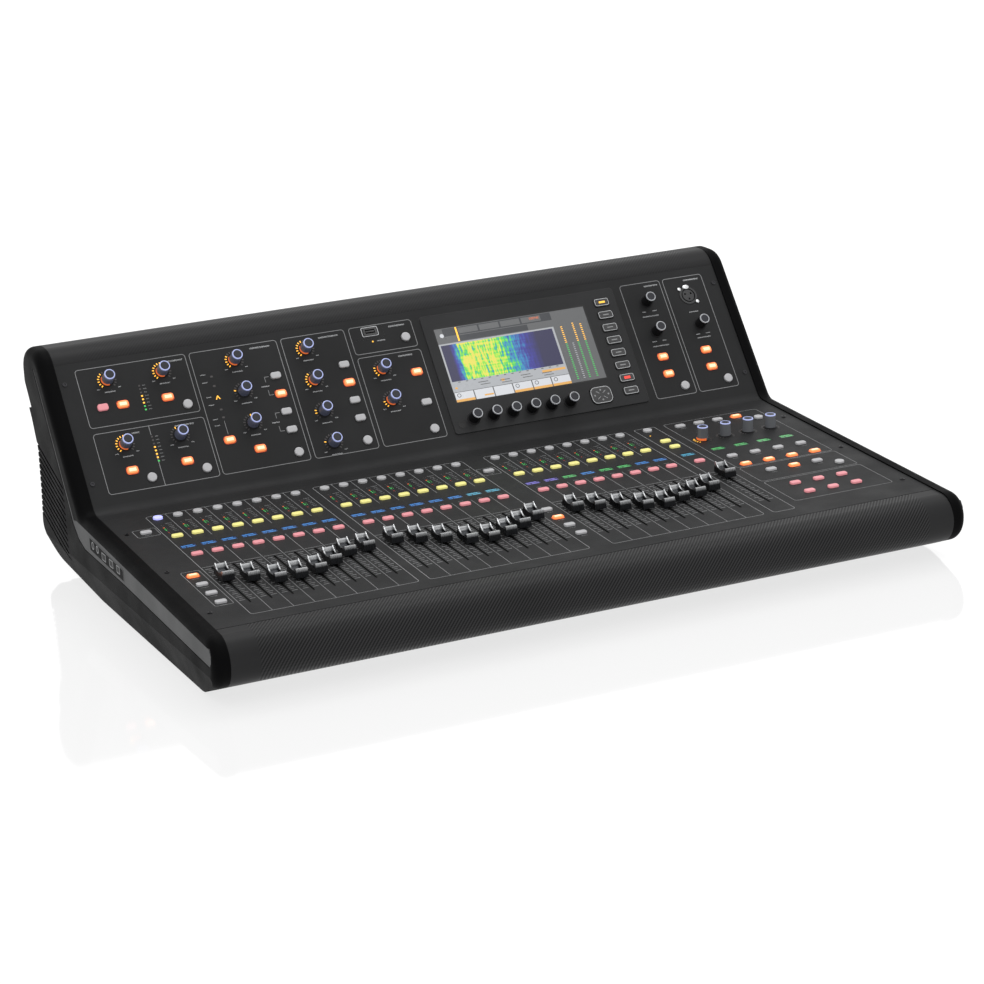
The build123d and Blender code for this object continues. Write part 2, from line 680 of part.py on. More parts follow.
def talk_socket():
    """Flush socket on the control panel: a low round rim, a latch tab and two screws."""
    with BuildPart() as socket:
        with BuildSketch(PANEL):
            with Locations(TALK_SOCKET):
                Circle(TALK_RIM_RADIUS)
                with Locations((0, TALK_RIM_RADIUS)):
                    Ellipse(4.6, 3.2)
                with Locations((-9.6, 9.6), (9.6, -9.6)):
                    Circle(2.4)
        extrude(amount=TALK_RIM)
        with BuildSketch(PANEL):
            with Locations(TALK_SOCKET):
                Circle(XLR_BODY_RADIUS)
        extrude(amount=-XLR_BODY_LENGTH)
        with BuildSketch(PANEL.offset(TALK_RIM)):
            with Locations(TALK_SOCKET):
                Circle(XLR_CUP_RADIUS + 0.6)
                Circle(XLR_CUP_RADIUS - XLR_RING, mode=Mode.SUBTRACT)
                with PolarLocations(XLR_PIN_CIRCLE, 3, start_angle=30):
                    Circle(XLR_PIN_RADIUS)
        extrude(amount=-SHALLOW, mode=Mode.SUBTRACT)
    return socket.part


def xlr_sockets():
    """All the three-pole sockets: the talkback one in front, the rest at the rear."""
    with BuildPart() as sockets:
        add(talk_socket())
        add(pole_sockets(REAR, mirrored(XLR_INPUTS), True))
        add(pole_sockets(REAR, mirrored(XLR_OUTPUTS), False))
    return sockets.part


def rear_ports():
    """Jacks, network, round and serial sockets in one row along the rear."""
    square_ports = mirrored(NETWORK_PORTS + MONITOR_PLUGS)
    with BuildPart() as ports:
        with BuildSketch(REAR):
            with Locations(*mirrored(JACKS)):
                RegularPolygon(8.0, 6)
            with Locations(*mirrored(DIN_PORTS)):
                Circle(DIN_RADIUS + 2.0)
            with Locations(*square_ports):
                RectangleRounded(PORT_SIZE + 4, PORT_SIZE + 4, 2.0)
        extrude(amount=2.5)
        with BuildSketch(REAR):
            with Locations(*mirrored(JACKS)):
                Circle(JACK_RADIUS)
            with Locations(*mirrored(DIN_PORTS)):
                Circle(DIN_RADIUS)
            with Locations(*square_ports):
                Rectangle(PORT_SIZE, PORT_SIZE)
        extrude(amount=-14.0)
        with BuildSketch(REAR.offset(2.5)):
            with Locations(*mirrored(JACKS)):
                Circle(3.2)
            with Locations(*mirrored(DIN_PORTS)):
                Circle(DIN_RADIUS - 1.0)
                Circle(DIN_RADIUS - 2.2, mode=Mode.SUBTRACT)
            with Locations(*square_ports):
                Rectangle(11.8, 8.4)
        extrude(amount=-SHALLOW, mode=Mode.SUBTRACT)
    return ports.part


def data_sockets():
    """The rear row of sockets and the media port on the control panel."""
    rim = 0.8
    with BuildPart() as sockets:
        with BuildSketch(PANEL):
            with Locations(USB_PORT):
                RectangleRounded(USB_SIZE[0] + 3, USB_SIZE[1] + 3, 1.5)
        extrude(amount=rim)
        with BuildSketch(PANEL):
            with Locations(USB_PORT):
                Rectangle(*USB_SIZE)
        extrude(amount=-12.0)
        with BuildSketch(PANEL.offset(rim)):
            with Locations(USB_PORT):
                Rectangle(USB_SIZE[0] - 1.6, USB_SIZE[1] - 1.8)
                Rectangle(USB_SIZE[0] - 3.0, 1.6, mode=Mode.SUBTRACT)
        extrude(amount=-SHALLOW, mode=Mode.SUBTRACT)
        add(rear_ports())
    return sockets.part


def power_inlet():
    """Mains inlet with its three blades, and the open box the switch tilts in."""
    width, height, depth = INLET_CAVITY
    inlet_centre = (-INLET[0], INLET[1])
    switch_centre = (-SWITCH[0], SWITCH[1])
    with BuildPart() as inlet:
        with BuildSketch(REAR):
            with Locations(inlet_centre):
                RectangleRounded(48.0, 27.0, 5.0)
        extrude(amount=2.0)
        with BuildSketch(REAR):
            with Locations(inlet_centre):
                Rectangle(*INLET_BODY)
        extrude(amount=-depth - 3.0)
        with BuildSketch(REAR.offset(2.0)):
            with Locations(inlet_centre):
                Rectangle(width, height)
        extrude(amount=-depth - 2.0, mode=Mode.SUBTRACT)
        with BuildSketch(REAR.offset(-depth)):
            with Locations(inlet_centre):
                with Locations((-7.0, -2.0), (7.0, -2.0), (0.0, 2.0)):
                    Rectangle(2.0, 4.0)
        extrude(amount=depth - 3.0)
        with BuildSketch(REAR.offset(-SHEET)):
            with Locations(switch_centre):
                Rectangle(SWITCH_OPENING[0] + 4, SWITCH_OPENING[1] + 4)
        extrude(amount=-14.0)
        with BuildSketch(REAR.offset(-SHEET)):
            with Locations(switch_centre):
                Rectangle(*SWITCH_OPENING)
        extrude(amount=-12.0, mode=Mode.SUBTRACT)
        with BuildSketch(Plane.YZ.offset(SWITCH[0] - SWITCH_PIN_REACH - 0.3)):
            with Locations((SWITCH_PIVOT_Y, SWITCH[1])):
                Circle(SWITCH_PIN_RADIUS + SWITCH_PIN_GAP)
        extrude(amount=2 * SWITCH_PIN_REACH + 0.6, mode=Mode.SUBTRACT)
    return inlet.part


def power_switch():
    """Rocker with its lower half standing out; it tilts about the pivot behind its face."""
    out, reach, tail = 6.5, 5.4, 4.5
    tilt = radians(SWITCH_TILT)
    profile = [
        (-tail, -4.0),
        (out, -reach),
        (5.0, 0.0),
        (out * cos(tilt) - reach * sin(tilt), reach * cos(tilt) + out * sin(tilt)),
        (-tail, 4.0),
    ]
    with BuildPart() as rocker:
        with BuildSketch(Plane.YZ.offset(SWITCH[0] - SWITCH_OPENING[0] / 2 + 1.0)):
            with BuildLine():
                Polyline(*[(SWITCH_PIVOT_Y + y, SWITCH[1] + z) for y, z in profile], close=True)
            make_face()
        extrude(amount=SWITCH_OPENING[0] - 2.0)
        with BuildSketch(Plane.YZ.offset(SWITCH[0] - SWITCH_PIN_REACH)):
            with Locations((SWITCH_PIVOT_Y, SWITCH[1])):
                Circle(SWITCH_PIN_RADIUS)
        extrude(amount=2 * SWITCH_PIN_REACH)
    return rocker.part


# ---- Inside ----------------------------------------------------------------------------
def power_supply():
    """Finned supply block on the tray."""
    with BuildPart() as supply:
        with BuildSketch(Plane.XY.offset(FOOT_HEIGHT + SHEET)):
            with Locations(SUPPLY_CENTRE):
                Rectangle(*SUPPLY_SIZE)
        extrude(amount=SUPPLY_HEIGHT)
        with BuildSketch(Plane.XY.offset(FOOT_HEIGHT + SHEET + SUPPLY_HEIGHT)):
            with Locations(SUPPLY_CENTRE):
                with GridLocations(12.0, 1.0, 12, 1):
                    Rectangle(3.0, SUPPLY_SIZE[1] - 10)
        extrude(amount=12.0)
    return supply.part


def board_on_pillars(plane, centre, size, pillars, gap):
    """A circuit board held below a sheet; the plane lies on the sheet's inner face."""
    with BuildPart() as board:
        with BuildSketch(plane.offset(-gap)):
            with Locations(centre):
                Rectangle(*size)
        extrude(amount=-BOARD)
        with BuildSketch(plane):
            with Locations(*pillars):
                Circle(PILLAR_RADIUS)
        extrude(amount=-gap)
    return board.part


def circuit_boards():
    """Main board over the tray, and one board behind each group of controls."""
    tray_face = Plane(origin=(0, 0, FOOT_HEIGHT + SHEET), x_dir=(-1, 0, 0), z_dir=(0, 0, -1))
    tray_gap = MAIN_BOARD_Z - FOOT_HEIGHT - SHEET
    main_pillars = [(-x, y) for x, y in MAIN_PILLARS]
    with BuildPart() as boards:
        add(board_on_pillars(tray_face, (-110, 120), (560, 180), main_pillars, tray_gap))
        add(board_on_pillars(DECK.offset(-SHEET), (0, -110), (820, 172), DECK_PILLARS, 12.0))
        add(board_on_pillars(PANEL.offset(-SHEET), (-30, 100), (760, 150), PANEL_PILLARS, 14.0))
        rear_centre, rear_pillars = (-60.0, 120.0), mirrored(REAR_PILLARS)
        add(board_on_pillars(REAR.offset(-SHEET), rear_centre, (700, 110), rear_pillars, 22.0))
    return boards.part


def fader_tracks():
    """A motor-driven fader frame under every slot."""
    row = SLOT_TOP + SLOT_LENGTH / 2
    under = DECK.offset(-SHEET)
    floor = under.offset(-TRACK_HEIGHT)
    with BuildPart() as tracks:
        with BuildSketch(under):
            with Locations(*deck_points(CHANNELS, [row])):
                Rectangle(TRACK_WIDTH, SLOT_LENGTH + 14)
                Rectangle(TRACK_WIDTH - 2 * TRACK_WALL, SLOT_LENGTH + 8, mode=Mode.SUBTRACT)
        extrude(amount=-TRACK_HEIGHT)
        with BuildSketch(floor):
            with Locations(*deck_points(CHANNELS, [row])):
                Rectangle(TRACK_WIDTH, SLOT_LENGTH + 14)
        extrude(amount=-TRACK_WALL)
        with BuildSketch(floor.offset(-TRACK_WALL)):
            with Locations(*deck_points(CHANNELS, [row - 46.0])):
                Circle(MOTOR_RADIUS)
        extrude(amount=-MOTOR_LENGTH)
    return tracks.part


# ---- Feet and fasteners ----------------------------------------------------------------
def rubber_feet():
    """Low round feet under the belly."""
    with BuildPart() as feet:
        with BuildSketch(Plane.XY):
            with Locations(*FEET):
                Circle(FOOT_RADIUS)
        extrude(amount=FOOT_HEIGHT)
        chamfer(feet.faces().group_by(Axis.Z)[0].edges(), 0.6)
    return feet.part


def screw_heads(plane, centres):
    """Low socket screws standing on a panel."""
    with BuildPart() as heads:
        with BuildSketch(plane):
            with Locations(*centres):
                Circle(SCREW_RADIUS)
        extrude(amount=1.0)
        with BuildSketch(plane.offset(1.0)):
            with Locations(*centres):
                RegularPolygon(1.5, 6)
        extrude(amount=-0.8, mode=Mode.SUBTRACT)
    return heads.part


def panel_screws():
    """The screws that hold the deck, the control panel and the connector panel."""
    with BuildPart() as screws:
        add(screw_heads(DECK, DECK_SCREWS))
        add(screw_heads(PANEL, PANEL_SCREWS))
        add(screw_heads(REAR, REAR_SCREWS))
    return screws.part


# ---- Keys, knobs and faders ------------------------------------------------------------
def softened_key(outline, height):
    """A key raised from its outline, standing on its stem, with a rounded top edge."""
    with BuildPart() as key:
        with BuildSketch(Plane.XY.offset(-KEY_STEM)):
            add(outline)
        extrude(amount=KEY_STEM + height)
        fillet(key.faces().sort_by(Axis.Z)[-1].edges(), KEY_EDGE)
    return key.part


def soft_key(size, height):
    """Rounded rectangular key."""
    with BuildSketch() as outline:
        RectangleRounded(*size, KEY_RADIUS)
    return softened_key(outline.sketch, height)


def round_key():
    """Round key."""
    with BuildSketch() as outline:
        Circle(ROUND_KEY / 2)
    return softened_key(outline.sketch, KEY_HEIGHT)


def placed(plane, groups):
    """Copies of small parts on a panel; groups pairs a list of centres with a part."""
    with BuildPart(plane) as copies:
        for centres, piece in groups:
            with Locations(*centres):
                add(piece)
    return copies.part


def select_keys():
    """Round channel select keys, one over every fader."""
    return placed(DECK, [(SELECT_KEYS, round_key())])


def solo_keys():
    """Solo keys, one over every fader, with a second one on the main channel."""
    return placed(DECK, [(SOLO_KEYS, soft_key(KEY_SIZE, KEY_HEIGHT))])


def mute_keys():
    """Mute keys and the mute group keys."""
    return placed(DECK, [(MUTE_KEYS + MUTE_GROUP_KEYS, soft_key(KEY_SIZE, KEY_HEIGHT))])


def deck_keys():
    """Layer, assign and view keys on the deck."""
    return placed(DECK, [(DECK_KEYS, soft_key(KEY_SIZE, KEY_HEIGHT)), (DECK_ROUND_KEYS, round_key())])


def upper_keys():
    """Function and view keys on the control panel."""
    return placed(PANEL, [(UPPER_KEYS, soft_key(KEY_SIZE, KEY_HEIGHT)), (UPPER_ROUND_KEYS, round_key())])


def display_keys():
    """Page keys beside the screen and the four-way pad under it."""
    with BuildSketch() as pad_outline:
        RectangleRounded(*NAVIGATION_SIZE, NAVIGATION_RADIUS)
    height = BEZEL_HEIGHT + KEY_HEIGHT - 0.6
    page_key = soft_key(DISPLAY_KEY_SIZE, height)
    pad = softened_key(pad_outline.sketch, height)
    return placed(PANEL, [(DISPLAY_KEYS, page_key), ([NAVIGATION_PAD], pad)])


def knob():
    """Tall tapered encoder knob on its shaft, with a pointer groove across the rim."""
    with BuildPart() as barrel:
        with BuildSketch(Plane.XZ):
            with BuildLine():
                Polyline(
                    (0, -SHAFT_DEPTH),
                    (SHAFT_RADIUS, -SHAFT_DEPTH),
                    (SHAFT_RADIUS, KNOB_LIFT),
                    (KNOB_BASE_RADIUS, KNOB_LIFT),
                    (KNOB_TOP_RADIUS, KNOB_HEIGHT - 0.8),
                    (KNOB_TOP_RADIUS - 0.8, KNOB_HEIGHT),
                    (0, KNOB_HEIGHT),
                    close=True,
                )
            make_face()
        revolve(axis=Axis.Z)
        with BuildSketch(Plane.XY.offset(KNOB_HEIGHT)):
            with Locations((0, KNOB_TOP_RADIUS - 2.0)):
                Rectangle(0.9, 4.4)
        extrude(amount=-0.6, mode=Mode.SUBTRACT)
    return barrel.part


def assign_encoders():
    """Four freely assigned encoders on the deck."""
    return placed(DECK, [(ASSIGN_KNOBS, knob())])


def upper_encoders():
    """The encoders of the control panel that share one node."""
    on_panel = [centre for centre in UPPER_ENCODERS if centre not in DISPLAY_KNOBS]
    with BuildPart() as encoders:
        add(placed(PANEL, [(on_panel, knob())]))
        add(placed(PANEL.offset(BEZEL_HEIGHT), [(DISPLAY_KNOBS, knob())]))
    return encoders.part


def fader_cap():
    """Saddle-shaped fader cap on its blade; X across, Y to the rear, Z off the deck."""
    half = CAP_LENGTH / 2
    across = Plane.YZ.offset(-CAP_WIDTH / 2)
    with BuildPart() as cap:
        with BuildSketch(across):
            with BuildLine():
                Polyline((-10.0, 12.5), (-half + 1.2, 12.5), (-half, CAP_LIFT), (half, CAP_LIFT), (half - 0.6, 14.2))
                ThreePointArc((half - 0.6, 14.2), (half - 1.4, 14.7), (half - 2.6, 14.2))
                ThreePointArc((half - 2.6, 14.2), (0.5, CAP_SADDLE), (-10.0, 12.5))
            make_face()
        extrude(amount=CAP_WIDTH)
        with BuildSketch(Plane.XZ.offset(half + 1)):
            with BuildLine():
                Polyline(
                    (-CAP_WIDTH / 2, CAP_LIFT),
                    (CAP_WIDTH / 2, CAP_LIFT),
                    (CAP_WIDTH / 2 - CAP_FLARE, CAP_TOP),
                    (CAP_FLARE - CAP_WIDTH / 2, CAP_TOP),
                    close=True,
                )
            make_face()
        extrude(amount=-CAP_LENGTH - 2, mode=Mode.INTERSECT)
        with BuildSketch(Plane.YZ.offset(-CAP_SCOOP / 2)):
            with BuildLine():
                Polyline((-8.0, 20.0), (-8.0, 11.5))
                ThreePointArc((-8.0, 11.5), (-6.4, 6.6), (-1.5, 5.4))
                ThreePointArc((-1.5, 5.4), (6.5, 6.6), (half - 1.6, 10.2))
                Polyline((half - 1.6, 10.2), (half + 2, 20.0), (-8.0, 20.0))
            make_face()
        extrude(amount=CAP_SCOOP, mode=Mode.SUBTRACT)
        with BuildSketch(Plane.XY.offset(CAP_LIFT)):
            Rectangle(BLADE_THICKNESS, BLADE_LENGTH)
        extrude(amount=-CAP_LIFT - BLADE_DEPTH)
    return cap.part


# ---- Finished pieces -------------------------------------------------------------------
os.makedirs("parts", exist_ok=True)

save(base_chassis(), "base_chassis")
save(front_bolster(), "front_bolster")
save(end_cheek(-1), "end_cheek_left")
save(end_cheek(1), "end_cheek_right")
save(side_trim_plates(), "side_trim_plates")
save(rear_cowl(), "rear_cowl")
save(fader_deck(), "fader_deck")
save(upper_panel(), "upper_panel")
save(rear_panel(), "rear_panel")
save(display_bezel(), "display_bezel")
save(display_glass(), "display_glass")
save(scribble_displays(), "scribble_displays")
save(xlr_sockets(), "xlr_sockets")
save(data_sockets(), "data_sockets")
save(power_inlet(), "power_inlet")
save(power_switch(), "power_switch")
save(power_supply(), "power_supply")
save(circuit_boards(), "circuit_boards")
save(fader_tracks(), "fader_tracks")
save(rubber_feet(), "rubber_feet")
save(panel_screws(), "panel_screws")
save(select_keys(), "select_keys")
save(solo_keys(), "solo_keys")
save(mute_keys(), "mute_keys")
save(deck_keys(), "deck_keys")
save(upper_keys(), "upper_keys")
save(display_keys(), "display_keys")
save(upper_encoders(), "upper_encoders")
save(assign_encoders(), "assign_encoders")

encoder = knob()
for name, centre in SINGLE_KNOBS.items():
    save(placed(PANEL, [([centre], encoder)]), name)

cap = fader_cap()
for index, (x, arc) in enumerate(zip(CHANNELS, FADER_ARCS), start=1):
    name = "fader_main" if index == len(CHANNELS) else f"fader_{index:02d}"
    save(placed(DECK, [(deck_points([x], [arc]), cap)]), name)
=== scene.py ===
import bpy
import random
from math import asin, atan2, cos, pi, radians, sin
from mathutils import Matrix, Vector


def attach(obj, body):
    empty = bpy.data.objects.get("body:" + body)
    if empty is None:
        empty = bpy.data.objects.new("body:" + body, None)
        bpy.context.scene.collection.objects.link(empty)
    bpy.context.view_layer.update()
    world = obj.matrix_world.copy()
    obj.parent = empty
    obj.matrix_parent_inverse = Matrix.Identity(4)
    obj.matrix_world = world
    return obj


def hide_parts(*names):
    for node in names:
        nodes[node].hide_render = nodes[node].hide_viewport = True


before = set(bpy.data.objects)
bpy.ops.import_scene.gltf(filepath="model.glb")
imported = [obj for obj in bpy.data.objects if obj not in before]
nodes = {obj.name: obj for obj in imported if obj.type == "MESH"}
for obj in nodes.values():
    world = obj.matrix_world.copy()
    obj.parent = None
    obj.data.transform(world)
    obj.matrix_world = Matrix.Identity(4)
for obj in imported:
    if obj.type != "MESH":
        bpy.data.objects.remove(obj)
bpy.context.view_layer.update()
random.seed(7)

# ---- Frame of the two control surfaces (millimetres, as in the CAD) ---------------------
MM = 0.001
CREASE = Vector((0.0, 122.5, 92.5))
DECK_SLOPE, PANEL_SLOPE = radians(2.5), radians(53.0)
PITCH = 23.5


def slope_place(angle):
    """Matrix of a surface through the crease: x across, y up the slope, z off the surface."""
    turn = Matrix.Rotation(angle, 4, "X")
    return Matrix.Translation(CREASE) @ turn


DECK = slope_place(DECK_SLOPE)
PANEL = slope_place(PANEL_SLOPE)

BANK_STARTS = (-368.5, -168.5, 46.5)
BANKS = [[start + PITCH * k for k in range(8)] for start in BANK_STARTS]
CHANNELS = [x for bank in BANKS for x in bank]
MAIN_X = 248.0
KNOB_ROWS = [38.0 + 40.4 * k for k in range(4)]
SMALL_ROWS = [62.5 + 23.1 * k for k in range(4)]
GAIN_X, FILTER_X, EQ_X, SEND_X, BUS_X = -371.0, -305.2, -216.5, -128.0, -41.5
EQ_KEY_X, SEND_KEY_X, BUS_KEY_X = -173.0, -87.0, -0.5
ASSIGN_X = [289.5 + 30.8 * k for k in range(4)]
SCREEN = (36.0, 236.0, 60.5, 157.0)
BEZEL = (22.5, 281.5, 20.5, 175.5)
BEZEL_RISE = 1.6


# ---- Node materials ---------------------------------------------------------------------
class Surface:
    """A Principled material, built up by adding nodes to it."""

    def __init__(self, name, color, rough, metallic=0.0, specular=0.5):
        self.material = bpy.data.materials.new(name)
        self.material.use_nodes = True
        self.tree = self.material.node_tree
        self.shader = self.tree.nodes["Principled BSDF"]
        self.shader.inputs["Base Color"].default_value = (*color, 1.0)
        self.shader.inputs["Roughness"].default_value = rough
        self.shader.inputs["Metallic"].default_value = metallic
        self.shader.inputs["Specular IOR Level"].default_value = specular
        self.color = color
        self.rough = rough
        self.place = self.node("ShaderNodeTexCoord").outputs["Object"]

    def node(self, kind, **settings):
        made = self.tree.nodes.new(kind)
        for key, value in settings.items():
            setattr(made, key, value)
        return made

    def link(self, source, target):
        self.tree.links.new(source, target)

    def feed(self, source, name):
        """Wire a node output to an input of the shader."""
        self.link(source, self.shader.inputs[name])

    def math(self, operation, a, b=None, clamp=False):
        made = self.node("ShaderNodeMath", operation=operation, use_clamp=clamp)
        for socket, value in zip(made.inputs, (a, b)):
            if value is None:
                continue
            if isinstance(value, (int, float)):
                socket.default_value = value
            else:
                self.link(value, socket)
        return made.outputs[0]

    def noise(self, scale, detail=4.0, stretch=None):
        made = self.node("ShaderNodeTexNoise")
        made.inputs["Scale"].default_value = scale
        made.inputs["Detail"].default_value = detail
        source = self.place
        if stretch:
            mapping = self.node("ShaderNodeMapping")
            mapping.inputs["Scale"].default_value = stretch
            self.link(source, mapping.inputs["Vector"])
            source = mapping.outputs[0]
        self.link(source, made.inputs["Vector"])
        return made.outputs["Fac"]

    def spread(self, fac, low, high):
        """fac, which runs about 0.3 to 0.7, mapped to a range."""
        made = self.node("ShaderNodeMapRange")
        made.inputs["From Min"].default_value = 0.3
        made.inputs["From Max"].default_value = 0.7
        made.inputs["To Min"].default_value = low
        made.inputs["To Max"].default_value = high
        self.link(fac, made.inputs["Value"])
        return made.outputs[0]

    def mix(self, fac, dark, light):
        made = self.node("ShaderNodeMix", data_type="RGBA")
        for socket, value in ((made.inputs[6], dark), (made.inputs[7], light)):
            if isinstance(value, tuple):
                socket.default_value = (*value, 1.0)
            else:
                self.link(value, socket)
        if isinstance(fac, float):
            made.inputs[0].default_value = fac
        else:
            self.link(fac, made.inputs[0])
        return made.outputs[2]

    def bump(self, height, depth, strength=1.0):
        made = self.node("ShaderNodeBump")
        made.inputs["Strength"].default_value = strength
        made.inputs["Distance"].default_value = depth
        self.link(height, made.inputs["Height"])
        self.feed(made.outputs[0], "Normal")

    def grain(self, scale, depth, vary=0.12, rough_vary=0.06):
        """Fine grain in height, with soft drifts of tone and roughness."""
        drift = self.noise(9.0, 3.0)
        low = tuple(c * (1 - vary) for c in self.color)
        high = tuple(min(1.0, c * (1 + vary)) for c in self.color)
        self.feed(self.mix(self.spread(drift, 0.0, 1.0), low, high), "Base Color")
        cloud = self.spread(self.noise(22.0, 5.0), self.rough - rough_vary, self.rough + rough_vary)
        self.feed(cloud, "Roughness")
        self.bump(self.noise(scale, 2.0), depth)
        return self

    def glow(self, color, strength):
        self.shader.inputs["Emission Color"].default_value = (*color, 1.0)
        self.shader.inputs["Emission Strength"].default_value = strength
        return self


def moulded(name, color, rough, scale=2600.0, depth=0.00006, specular=0.5):
    """Fine-grained moulded plastic or paint."""
    return Surface(name, color, rough, specular=specular).grain(scale, depth).material


def lit(name, color, strength, rough=0.45, base=None):
    """Translucent silicone or a lamp with light in it."""
    surface = Surface(name, base or color, rough)
    surface.grain(1500.0, 0.00004, vary=0.05)
    surface.glow(color, strength)
    return surface.material


def painted_panel():
    """Charcoal paint: fine grain and faint rubbed patches."""
    surface = Surface("charcoal_paint", (0.0135, 0.0137, 0.0142), 0.54, specular=0.14)
    surface.grain(2300.0, 0.00007, vary=0.16, rough_vary=0.07)
    return surface.material


WEAVE = 0.0041


def woven_print(name, dark, light, relief):
    """Black moulding with a twill weave that follows the rolled edge."""
    surface = Surface(name, light, 0.42, specular=0.13)
    split = surface.node("ShaderNodeSeparateXYZ")
    surface.link(surface.place, split.inputs[0])
    x, y, z = split.outputs
    along = surface.math("ADD", y, z)
    lean = surface.math("MULTIPLY", along, -1.45 * pi / WEAVE)
    diagonal = surface.math("ADD", surface.math("MULTIPLY", x, 2 * pi / WEAVE), lean)
    stripe = surface.math("SINE", diagonal)
    tow = surface.math("SINE", surface.math("MULTIPLY", along, 4 * pi / WEAVE))
    mass = surface.math("ADD", surface.math("MULTIPLY", stripe, 0.46), surface.math("MULTIPLY", tow, 0.10))
    inside = surface.math("SUBTRACT", 0.397, surface.math("ABSOLUTE", x))
    mass = surface.math("MULTIPLY", mass, surface.math("MULTIPLY", inside, 300.0, clamp=True))
    height = surface.math("ADD", mass, 0.5, clamp=True)
    shade = surface.math("MULTIPLY", height, surface.spread(surface.noise(7.0, 4.0), 0.7, 1.0), clamp=True)
    surface.feed(surface.mix(shade, dark, light), "Base Color")
    glint = surface.math("SUBTRACT", 0.50, surface.math("MULTIPLY", height, 0.14))
    surface.feed(glint, "Roughness")
    surface.bump(height, relief)
    return surface.material


CHARCOAL = painted_panel()
WOVEN = woven_print("woven_black", (0.0010, 0.0010, 0.0012), (0.0340, 0.0340, 0.0350), 0.00010)
WOVEN_SOFT = woven_print("woven_black_soft", (0.0095, 0.0095, 0.0100), (0.0175, 0.0175, 0.0182), 0.00001)
MOULDED = moulded("moulded_black", (0.0020, 0.0020, 0.0022), 0.52, 1900.0, 0.00008, 0.03)
BEZEL_GREY = moulded("bezel_grey", (0.0165, 0.0168, 0.0175), 0.5, 2600.0, 0.00005, 0.18)
CHASSIS = moulded("powder_black", (0.010, 0.010, 0.0105), 0.6, 1500.0, 0.00012, 0.3)
TRIM = moulded("trim_grey", (0.056, 0.057, 0.058), 0.44, 2200.0, 0.00004, 0.08)
PRINT = moulded("printed_grey", (0.235, 0.238, 0.242), 0.6, 1800.0, 0.00002, 0.3)
PRINT_WHITE = moulded("printed_white", (0.50, 0.51, 0.52), 0.6, 1800.0, 0.00002, 0.3)
SOCKET = moulded("socket_black", (0.014, 0.014, 0.015), 0.38, 1500.0, 0.00005)
PIN_DARK = moulded("hole_black", (0.004, 0.004, 0.004), 0.7, 1500.0, 0.00002)
RUBBER = moulded("foot_rubber", (0.015, 0.015, 0.015), 0.8, 900.0, 0.0001)
BOARD = moulded("board_green", (0.02, 0.11, 0.05), 0.5, 700.0, 0.0001)
KNOB_BLACK = moulded("knob_black", (0.0085, 0.0085, 0.0092), 0.5, 1300.0, 0.00007, 0.14)
KNOB_FACE = moulded("knob_face", (0.020, 0.021, 0.026), 0.4, 1500.0, 0.00004, 0.25)
KNOB_RIM = moulded("knob_rim_grey", (0.36, 0.37, 0.39), 0.4, 1500.0, 0.00003)

KEY_GREY = lit("key_grey", (0.36, 0.36, 0.37), 0.05)
KEY_LILAC = lit("key_lilac", (0.42, 0.43, 0.95), 0.60)
KEY_YELLOW = lit("key_yellow", (0.80, 0.74, 0.24), 0.34, 0.45, (0.58, 0.54, 0.18))
KEY_PINK = lit("key_pink", (0.80, 0.27, 0.30), 0.36, 0.45, (0.46, 0.18, 0.20))
KEY_ORANGE = lit("key_orange", (1.0, 0.30, 0.09), 0.55, 0.45, (0.85, 0.25, 0.08))
KEY_CREAM = lit("key_cream", (1.0, 0.62, 0.36), 0.60, 0.45, (0.90, 0.60, 0.40))
KEY_ORANGE_RIM = lit("key_orange_rim", (0.9, 0.10, 0.02), 0.5, 0.45, (0.5, 0.05, 0.01))
KEY_BLACK = moulded("key_black", (0.018, 0.018, 0.019), 0.45, 1500.0, 0.00005)
LAMP_BLUE = lit("lamp_blue_white", (0.46, 0.52, 1.0), 0.44, 0.45, (0.24, 0.27, 0.40))
LAMP_AMBER = lit("lamp_amber", (1.0, 0.50, 0.04), 1.0, 0.45, (0.6, 0.3, 0.03))
LAMP_ORANGE = lit("lamp_orange", (1.0, 0.20, 0.04), 0.5, 0.45, (0.4, 0.08, 0.02))
LAMP_GREEN = lit("lamp_green", (0.06, 0.62, 0.12), 0.5, 0.45, (0.03, 0.3, 0.06))
LAMP_RED_DIM = lit("lamp_red_dim", (0.8, 0.06, 0.03), 0.16, 0.45, (0.2, 0.02, 0.01))
LAMP_RED = lit("lamp_red", (1.0, 0.05, 0.03), 0.7, 0.45, (0.5, 0.03, 0.02))
LAMP_OFF = moulded("lamp_off", (0.035, 0.030, 0.030), 0.4, 1500.0, 0.00003)
LCD_BACKS = {
    "blue": lit("lcd_blue", (0.03, 0.16, 0.62), 0.1, 0.3, (0.006, 0.018, 0.045)),
    "teal": lit("lcd_teal", (0.05, 0.36, 0.62), 0.1, 0.3, (0.008, 0.03, 0.05)),
    "violet": lit("lcd_violet", (0.14, 0.1, 0.62), 0.1, 0.3, (0.012, 0.01, 0.045)),
    "green": lit("lcd_green", (0.04, 0.4, 0.12), 0.1, 0.3, (0.008, 0.035, 0.014)),
}
LCD_MARKS = {
    "blue": lit("lcd_mark_blue", (0.06, 0.27, 0.78), 0.62, 0.3, (0.03, 0.1, 0.2)),
    "teal": lit("lcd_mark_teal", (0.1, 0.48, 0.72), 0.62, 0.3, (0.04, 0.15, 0.2)),
    "violet": lit("lcd_mark_violet", (0.26, 0.2, 0.8), 0.62, 0.3, (0.08, 0.08, 0.2)),
    "green": lit("lcd_mark_green", (0.12, 0.62, 0.18), 0.62, 0.3, (0.04, 0.18, 0.06)),
}


